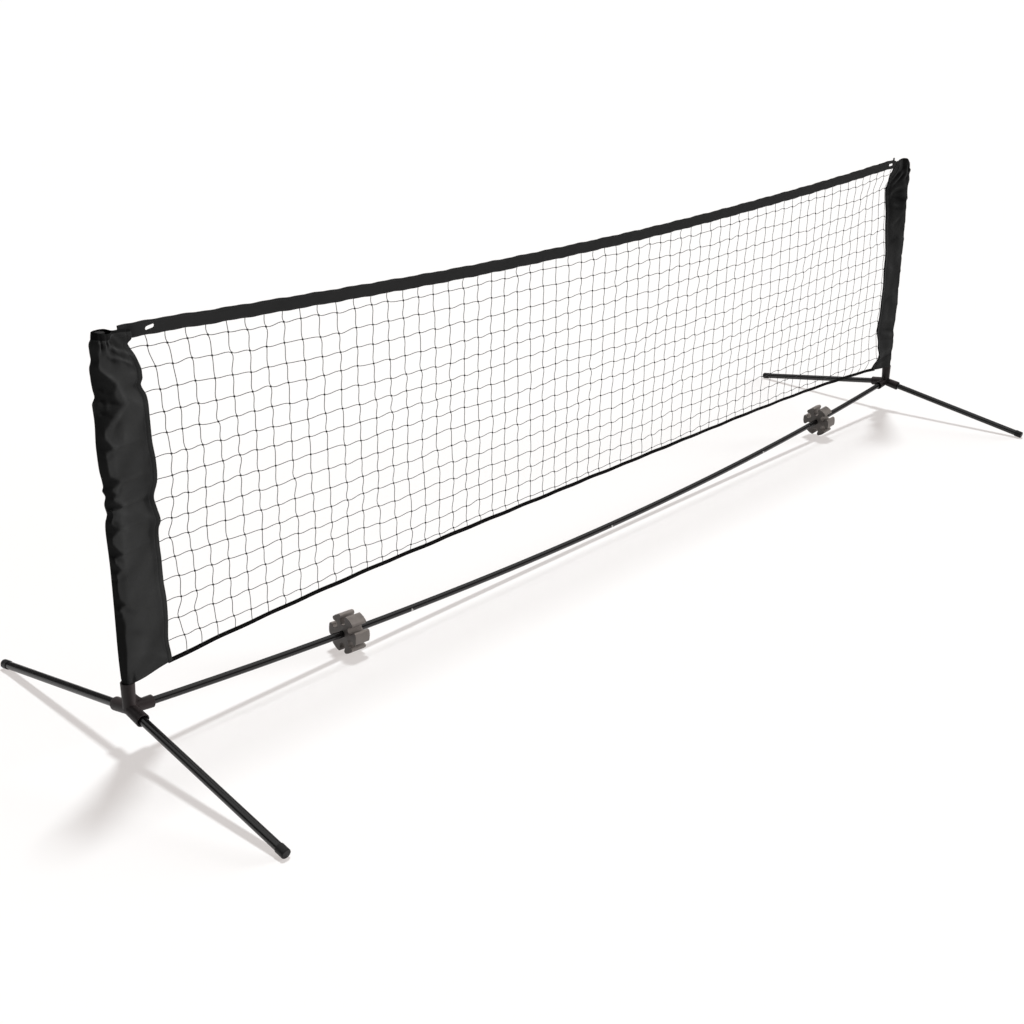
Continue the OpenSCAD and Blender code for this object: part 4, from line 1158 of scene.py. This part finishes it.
def band_profile(sizes):
    """The band's cross-section: a rounded rectangle, grooved along its two seams and fuller at the fold."""
    loop = strap_profile(sizes.band, sizes.band_thick, BAND_POINTS)
    high = sizes.band / 2
    groove = (swell(loop[:, 1] - high + SEAM_DROP, 1, SEAM_WIDE)
              + swell(loop[:, 1] + high - SEAM_RISE, 1, SEAM_WIDE))
    fuller = 1 + 0.16 * smooth((loop[:, 1] - high + 0.0045) / 0.002)
    loop[:, 0] = loop[:, 0] * fuller * (1 - 0.30 * groove)
    return loop


def band_stations(slots):
    """Stations along the band, close together round each slot."""
    far = np.linspace(-HUB_X + BAND_END, HUB_X - BAND_END, BAND_STATIONS)
    keep = np.all([np.abs(far - slot) > long for slot, long in slots], axis=0)
    near = [slot + np.linspace(-long, long, SLOT_STATIONS) for slot, long in slots]
    return np.sort(np.concatenate([far[keep], *near]))


def round_slot(grid, middle, slot, long, lip, faces, sizes):
    """Draws the edge of a slot's block of faces, front and back, to a slot with round ends, and eases the
    points round it along. lip is half the block's height. Inside it a height is scaled to the slot's own,
    half height * root(1 - o^2), where o goes from 0 to 1 over the round end, and outside it what is left of
    the band takes the rest. The slot rises along its length."""
    rise = SLOT_RISE[math.copysign(1, slot)]
    half_l, half_h, limit = long / 2, sizes.slot_high / 2, sizes.band / 2
    for columns in faces:
        block = grid[:, columns]
        dx = block[..., 0] - slot
        dz = block[..., 2] - middle[:, None]
        inner = np.clip(1 - (np.abs(dx) - half_l) / (half_l * 0.8), 0, 1)
        near = np.abs(dx) <= half_l + HAIR
        arch = half_h * arc(np.clip((np.abs(dx) - half_l + half_h) / half_h, 0, 1), 1)
        outside = arch + (np.abs(dz) - lip) / (limit - lip) * (limit - arch)
        moved = np.where(np.abs(dz) <= lip + HAIR, dz * arch / lip, np.sign(dz) * outside)
        ease = inner * smooth(1 - (np.abs(dz) - half_h) / (limit - half_h))
        block[..., 2] = middle[:, None] + np.where(near, moved, dz) + dx * rise * ease
        grid[:, columns] = block


def slot_edge(i0, i1, low, high):
    """Row and column numbers once round a block of cells, from its first corner."""
    long, tall = np.ones(i1 - i0, int), np.ones(high - low, int)
    rows, cols = np.arange(i0, i1), np.arange(low, high)
    return (np.concatenate([rows, i1 * tall, rows[::-1] + 1, i0 * tall]),
            np.concatenate([low * long, cols, high * long, cols[::-1] + 1]))


def sew_band(sizes, colours):
    """The top band: its cross-section carried along the sagging line. A slot is a block of faces left out of
    front and back, whose edge is drawn to a rounded slot and walled through the band."""
    slots = [(-HUB_X + SLOT_INBOARD, sizes.slot_left), (HUB_X - SLOT_INBOARD, sizes.slot_right)]
    x = band_stations(slots)
    loop = band_profile(sizes)
    middle = band_top(x) - sizes.band / 2
    cols = len(loop)
    grid = np.zeros((len(x), cols, 3))
    grid[..., 0] = x[:, None]
    grid[..., 1] = loop[:, 0] + band_sway(x)[:, None]
    grid[..., 2] = middle[:, None] + loop[:, 1]
    front = np.arange(BAND_POINTS)
    opposite = (front + BAND_POINTS + BEND_POINTS)[::-1]
    step = sizes.band / (BAND_POINTS - 1)
    reach = int(round(sizes.slot_high / 2 / step))
    low, high = BAND_POINTS // 2 - reach, BAND_POINTS // 2 + reach
    index, ci, cj = grid_faces(len(x), cols, False, True)
    keep = np.ones(len(index), bool)
    walls = []
    for slot, long in slots:
        inside = np.where(np.abs(x - slot) < long / 2 + HAIR)[0]
        i0, i1 = inside[0], inside[-1]
        for first, last in ((low, high), (opposite[high], opposite[low])):
            keep &= ~((ci[:, 0] >= i0) & (ci[:, 0] < i1) & (cj[:, 0] >= first) & (cj[:, 0] < last))
        edge_i, edge_j = slot_edge(i0, i1, low, high)
        round_slot(grid, middle, slot, long, reach * step, (front, opposite), sizes)
        near, far = edge_i * cols + edge_j, edge_i * cols + opposite[edge_j]
        walls.append(np.stack([near, far, np.roll(far, -1), np.roll(near, -1)], 1))
    run, girth = run_along(np.stack([x, middle], -1)), run_along(np.vstack([loop, loop[:1]]))
    uv = np.stack([run[ci], girth[cj]], -1)[keep]
    wall = np.concatenate(walls)
    caps = end_caps(len(x), cols)[:, ::-1].ravel()
    corners = np.concatenate([index[keep][:, ::-1].ravel(), wall[:, ::-1].ravel(), caps])
    corner_uv = np.concatenate([uv[:, ::-1].reshape(-1, 2), np.zeros((wall.size + 2 * cols, 2))])
    counts = np.concatenate([np.full(keep.sum() + len(wall), 4), [cols, cols]])
    band = from_arrays("sewn_band", grid.reshape(-1, 3), corners, counts, corner_uv,
                       finish_of("strap_webbing", colours), 50.0)
    weld(band)
    out = np.linspace(-HUB_X + BAND_LINE_END, HUB_X - BAND_LINE_END, LINE_STATIONS)
    rows = [strap_row(out, band_sway(out), face, sizes.band_thick * 0.36, band_top(out) - drop)
            for face in (-1, 1) for drop in (SEAM_DROP, sizes.band - SEAM_RISE)]
    stitches = sewn("band_stitches", rows, sizes.stitch * 1.25, sizes.thread,
                    finish_of("sewing_thread", colours))
    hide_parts("top_band")
    for piece in (band, stitches):
        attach(piece, "net")


def strap_row(x, sway, face, off, z):
    """A row of stitches along a strap, off its middle on one face, with its outward directions."""
    line = np.stack([x, sway + face * off, z], -1)
    return line, np.broadcast_to([0.0, face, 0.0], line.shape)


def lay_flat(strap, run, girth):
    """Lays a strap's UV map flat in metres, point by point: along its length and round its girth."""
    points = np.zeros(len(strap.data.loops), np.int32)
    strap.data.loops.foreach_get("vertex_index", points)
    flat = np.stack([run[points // len(girth)], girth[points % len(girth)]], -1)
    strap.data.uv_layers[0].data.foreach_set("uv", np.ascontiguousarray(flat, np.float32).ravel())


def sew_tape(sizes, colours):
    """The lower tape: a flat strap along the net's lower edge whose ends lap the sleeves' corners. It is
    turned a little about its length: depth = strap depth * cos + strap height * sin of a rippling angle."""
    x = np.linspace(-HUB_X + TAPE_END, HUB_X - TAPE_END, TAPE_STATIONS)
    z = tape_middle(x)
    loop = strap_profile(TAPE_HIGH.z - tape_middle(np.array(0.0)) + TAPE_BELOW, TAPE_THICK, TAPE_POINTS)
    cols = len(loop)
    sway = (net_sway(x, 0.16) * near_sleeves(x, 0.10)
            + ripple(x, 0 * x, seed=41, waves=5, longest=0.8, shortest=0.2, height=0.0008))
    twist = ripple(x, 0 * x, seed=42, waves=5, longest=0.9, shortest=0.25, height=0.10)[:, None]
    grid = np.zeros((len(x), cols, 3))
    grid[..., 0] = x[:, None]
    grid[..., 1] = sway[:, None] + loop[:, 0] * np.cos(twist) + loop[:, 1] * np.sin(twist)
    grid[..., 2] = z[:, None] + loop[:, 1]
    run = x - x[0]
    tape = build("sewn_tape", [skin(grid[:, ::-1], False, True)], finish_of("lower_tape", colours), 50.0,
                 end_caps(len(x), cols))
    lay_flat(tape, run, np.linspace(0, TAPE_GIRTH, cols + 1)[:-1])
    weld(tape)
    rows = [strap_row(x, sway, face, 0.0013, z) for face in (-1, 1)]
    stitches = sewn("tape_stitches", rows, sizes.stitch * 1.25, sizes.thread,
                    finish_of("sewing_thread", colours))
    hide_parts("bottom_tape")
    for piece in (tape, stitches):
        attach(piece, "net")


def sew_loop(colours):
    """The small folded loop on the band: a narrow tape carried up, round a hairpin and down. Its path in
    depth and height has straight legs and a bend of (half gap * sin a, crown * cos a)."""
    x = (LOOP_LOW.x + LOOP_HIGH.x) / 2 - LOOP_INBOARD
    foot = float(band_top(np.array(x))) - LOOP_FOOT
    bend_z = LOOP_HIGH.z - LOOP_LOW.z + LOOP_TALLER - LOOP_BEND
    a = np.linspace(-math.pi / 2, math.pi / 2, 13)
    legs = np.linspace(0, bend_z, 9)
    path = np.concatenate([np.stack([np.full(9, -LOOP_HALF), legs], -1)[:-1],
                           np.stack([np.sin(a) * LOOP_HALF, bend_z + np.cos(a) * LOOP_CROWN], -1),
                           np.stack([np.full(9, LOOP_HALF), legs[::-1]], -1)[1:]])
    along = unit(np.gradient(path, axis=0))
    out = np.stack([-along[:, 1], along[:, 0]], -1)
    corner = np.array([(-1, -1), (-1, 1), (1, 1), (1, -1)]) / 2
    grid = np.zeros((len(path), 4, 3))
    grid[..., 0] = x + corner[:, 0] * LOOP_WIDE
    grid[..., 1:] = path[:, None] + out[:, None] * corner[:, 1:] * LOOP_THICK + [0, foot]
    flat = skin(grid, False, True, np.linspace(0, 0.03, len(path)), np.linspace(0, 0.01, 5))
    loop = build("sewn_loop", [flat], finish_of("strap_webbing", colours), 30.0,
                 end_caps(len(path), 4)[:, ::-1])
    weld(loop)
    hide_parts("band_loop")
    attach(loop, "net")


def gather_elastic(side, label, colours):
    """The elastic in a sleeve's mouth: a flat ring that leans with the post, crimped as
    r = middle + crimp sin(n a), thinner towards its edges."""
    low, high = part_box(f"sleeve_elastic_{label}")
    middle = (low + high) / 2
    a = np.arange(160) * 2 * math.pi / 160
    t = np.linspace(-1, 1, 7)
    height = np.concatenate([t, t[::-1]])[:, None]
    wall = np.repeat([-1, 1], 7)[:, None]
    radius = (ELASTIC_RADIUS + CRIMP * np.sin(CRIMPS * a) * (1 - 0.3 * height ** 2)
              + wall * ELASTIC_THICK / 2 * (1 - 0.4 * height ** 8))
    x, y = radius * np.cos(a), radius * np.sin(a)
    z = height * (high.z - low.z) * ELASTIC_TALL / 2 + 0 * x
    lean = -side * POST_LEAN
    grid = np.stack([middle.x + x * math.cos(lean) + z * math.sin(lean), middle.y + y,
                     middle.z + z * math.cos(lean) - x * math.sin(lean)], -1)
    ring = build(f"gathered_elastic_{label}",
                 [skin(grid, True, True, np.linspace(0, 0.026, 15), np.linspace(0, 0.067, 161))],
                 finish_of("gathered_elastic", colours), 50.0)
    weld(ring)
    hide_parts(f"sleeve_elastic_{label}")
    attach(ring, "net")


# ---------------------------------------------------------------- finishing of the CAD nodes


def give(names, material):
    """Gives CAD nodes one finish."""
    for name in names:
        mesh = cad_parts[name].data
        mesh.materials.clear()
        mesh.materials.append(material)


def named(*starts):
    """Names of the CAD nodes that start with these words."""
    return [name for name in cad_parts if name.startswith(starts)]


def flex_spring(number):
    """The leaf spring under a snap button, as a copy of its CAD node's mesh that rides on the frame in its
    place."""
    name = f"snap_spring_{number}"
    spring = bpy.data.objects.new(f"flexing_spring_{number}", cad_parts[name].data.copy())
    bpy.context.scene.collection.objects.link(spring)
    weld(spring)
    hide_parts(name)
    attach(spring, "frame")
    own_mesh(spring)


# ---------------------------------------------------------------- camera, floor and lights

# Camera: width of its sensor and length of its lens in millimetres, its nearest and farthest sight, its
# heading from the net's front towards the right, pitch down and roll, and its place.
SENSOR, LENS = 36.0, 46.73
SIGHT = (0.05, 500.0)
HEADING, PITCH, ROLL = math.radians(47.2), math.radians(22.51), math.radians(0.17)
CAMERA_PLACE = (-2.6822, -2.1011, 1.4610)
# Half the floor's width, and how far it lies below the feet.
FLOOR_REACH, FLOOR_DROP = 120.0, 0.0002
# Suns: name, setting with its strength, width of its disc in degrees and direction that it comes from.
SUNS = (("top_light", "key", 8.0, (0.34, 0.22, 1.0)), ("side_light", "fill", 25.0, (0.87, -0.47, 0.10)))
# How the even light leans along X, Y and Z.
SKY_LEAN = (0.75, -0.30, 0.30)
# How softly the walls of the studio end, as a share of a direction's height, and their share at its level.
BELT_EDGE, BELT_FOOT = 0.2, 0.3


def aim_camera(scene):
    """A camera that looks along (cos pitch sin heading, cos pitch cos heading, -sin pitch), and is then
    rolled about that line."""
    lens = bpy.data.cameras.new("camera")
    lens.sensor_width, lens.lens = SENSOR, LENS
    lens.clip_start, lens.clip_end = SIGHT
    camera = bpy.data.objects.new("camera", lens)
    ahead = Vector((math.cos(PITCH) * math.sin(HEADING), math.cos(PITCH) * math.cos(HEADING),
                    -math.sin(PITCH)))
    right = ahead.cross(Vector((0, 0, 1))).normalized()
    up = right.cross(ahead)
    turned_right = right * math.cos(ROLL) + up * math.sin(ROLL)
    turned_up = up * math.cos(ROLL) - right * math.sin(ROLL)
    axes = Matrix((turned_right, turned_up, -ahead)).transposed().to_4x4()
    camera.matrix_world = Matrix.Translation(CAMERA_PLACE) @ axes
    scene.collection.objects.link(camera)
    scene.camera = camera


def light_room(world, look):
    """A white room for the camera. Glosses see it white overhead and below, with a dark belt of walls
    between: dark = held((top of the belt - height of the direction) / its soft edge). Everything else gets
    its even light, which is stronger from the right and from above."""
    room = Shader(world.node_tree)
    x, y, up = room.parts(room.place("Generated"))
    walls = ((look.belt - up) * (1 / BELT_EDGE)).held() * (up * (1 / BELT_EDGE) + BELT_FOOT).held()
    gloss = room.seen_rays(camera=False)
    camera = Number(room, room.node("ShaderNodeLightPath").outputs["Is Camera Ray"])
    even = (x * SKY_LEAN[0] + y * SKY_LEAN[1] + up * SKY_LEAN[2] + 1.0) * look.sky
    strength = even + camera * (1 - even) + gloss * (1 - even - walls * look.gap)
    room.plug(world.node_tree.nodes["Background"], {"Color": (1, 1, 1, 1), "Strength": strength})


def hang_sun(scene, name, power, width, towards):
    """A sun that lights the net from a direction and that glosses don't show."""
    lamp = bpy.data.lights.new(name, "SUN")
    lamp.energy, lamp.angle = power, math.radians(width)
    holder = bpy.data.objects.new(name, lamp)
    holder.visible_glossy = False
    holder.rotation_mode = "QUATERNION"
    holder.rotation_quaternion = Vector(towards).to_track_quat("Z", "Y")
    scene.collection.objects.link(holder)


# ---------------------------------------------------------------- operators


class PaintTubes(bpy.types.Operator):
    """Gives the bar, legs and posts their satin black paint"""

    bl_idname = "portable_net.paint_tubes"
    bl_label = "Paint tubes"

    def execute(self, context):
        paint = tuple(context.scene.net_colours.paint)
        give(named("bar_tube", "leg_", "post_left", "post_right"), satin_paint("black_tube_paint", paint))
        return {"FINISHED"}


class MouldHubs(bpy.types.Operator):
    """Gives the hubs their grained dark plastic"""

    bl_idname = "portable_net.mould_hubs"
    bl_label = "Finish hubs"

    def execute(self, context):
        tone = tuple(context.scene.net_colours.hub)
        give(named("hub_"), moulded_plastic("hub_moulding", tone, grain=1500.0, gloss=0.42))
        return {"FINISHED"}


class MouldClips(bpy.types.Operator):
    """Gives the storage clips their taupe plastic"""

    bl_idname = "portable_net.mould_clips"
    bl_label = "Finish clips"

    def execute(self, context):
        tone = tuple(context.scene.net_colours.clip)
        give(named("storage_clip"),
             moulded_plastic("clip_moulding", tone, grain=1100.0, gloss=0.46, shine=0.60))
        return {"FINISHED"}


class MouldEnds(bpy.types.Operator):
    """Gives the leg caps and post plugs their black plastic"""

    bl_idname = "portable_net.mould_ends"
    bl_label = "Finish caps and plugs"

    def execute(self, context):
        tone = tuple(context.scene.net_colours.rubber)
        give(named("cap_", "post_plug"), moulded_plastic("end_moulding", tone, grain=1300.0, gloss=0.38))
        return {"FINISHED"}


class PolishSnaps(bpy.types.Operator):
    """Gives the snap buttons and their springs bright steel, and puts a copy in place of each spring"""

    bl_idname = "portable_net.polish_snaps"
    bl_label = "Finish snap buttons"

    def execute(self, context):
        give(named("snap_"), bright_metal("polished_steel", tuple(context.scene.net_colours.steel)))
        for number in (1, 2, 3):
            flex_spring(number)
        return {"FINISHED"}


class TieNet(bpy.types.Operator):
    """Knots the twine net between band, tape and sleeves"""

    bl_idname = "portable_net.tie_net"
    bl_label = "Tie net"

    def execute(self, context):
        tie_net(context.scene.net_sizes, context.scene.net_colours)
        return {"FINISHED"}


class SewSleeves(bpy.types.Operator):
    """Sews both sleeves with their folds, hems, gathered mouths and elastics"""

    bl_idname = "portable_net.sew_sleeves"
    bl_label = "Sew sleeves"

    def execute(self, context):
        scene = context.scene
        for side, label in ((-1, "left"), (1, "right")):
            sew_sleeve(side, label, scene.net_sizes, scene.net_colours)
            gather_elastic(side, label, scene.net_colours)
        return {"FINISHED"}


class SewBand(bpy.types.Operator):
    """Sews the webbing band along the top, with its slots and small loop"""

    bl_idname = "portable_net.sew_band"
    bl_label = "Sew band"

    def execute(self, context):
        sew_band(context.scene.net_sizes, context.scene.net_colours)
        sew_loop(context.scene.net_colours)
        return {"FINISHED"}


class SewTape(bpy.types.Operator):
    """Sews the narrow tape along the net's lower edge"""

    bl_idname = "portable_net.sew_tape"
    bl_label = "Sew tape"

    def execute(self, context):
        sew_tape(context.scene.net_sizes, context.scene.net_colours)
        return {"FINISHED"}


class PlaceCamera(bpy.types.Operator):
    """Places the camera in front of the left-hand end, looking down along the net"""

    bl_idname = "portable_net.place_camera"
    bl_label = "Place camera"

    def execute(self, context):
        aim_camera(context.scene)
        return {"FINISHED"}


class SetStage(bpy.types.Operator):
    """Lays the pale floor and sets the soft studio lights"""

    bl_idname = "portable_net.set_stage"
    bl_label = "Set stage"

    def execute(self, context):
        scene, look = context.scene, context.scene.net_stage
        ends = (-FLOOR_REACH, FLOOR_REACH)
        corners = [[(x, y, -FLOOR_DROP) for x in ends] for y in ends]
        floor = build("floor", [skin(corners)],
                      floor_paper("floor_paper", tuple(look.floor), tuple(look.glow), look.bounce))
        scene.world = bpy.data.worlds.new("surround")
        scene.world.use_nodes = True
        light_room(scene.world, look)
        for name, setting, width, towards in SUNS:
            hang_sun(scene, name, getattr(look, setting), width, towards)
        scene.view_settings.view_transform = "Standard"
        return {"FINISHED"}


class NetPanel(bpy.types.Panel):
    """Lists the net's settings and the steps that make it"""

    bl_idname = "VIEW3D_PT_portable_net"
    bl_label = "Portable net"
    bl_space_type = "VIEW_3D"
    bl_region_type = "UI"
    bl_category = "Net"

    def draw(self, context):
        scene = context.scene
        for group in (scene.net_sizes, scene.net_colours, scene.net_stage):
            box = self.layout.box()
            for name in group.__annotations__:
                box.prop(group, name)
        for step in STEPS:
            self.layout.operator(step.bl_idname)


STEPS = (PlaceCamera, PaintTubes, MouldHubs, MouldClips, MouldEnds, PolishSnaps, SewSleeves, SewBand,
         SewTape, TieNet, SetStage)
CLASSES = (NetSizes, NetColours, StageLook, *STEPS, NetPanel)
SETTINGS = {"net_sizes": NetSizes, "net_colours": NetColours, "net_stage": StageLook}


def register():
    for kind in CLASSES:
        bpy.utils.register_class(kind)
    for name, group in SETTINGS.items():
        setattr(bpy.types.Scene, name, bpy.props.PointerProperty(type=group))


def unregister():
    for name in SETTINGS:
        delattr(bpy.types.Scene, name)
    for kind in reversed(CLASSES):
        bpy.utils.unregister_class(kind)


def main():
    """Makes every piece in order."""
    register()
    for step in STEPS:
        group, name = step.bl_idname.split(".")
        getattr(getattr(bpy.ops, group), name)()


if __name__ == "__main__":
    main()
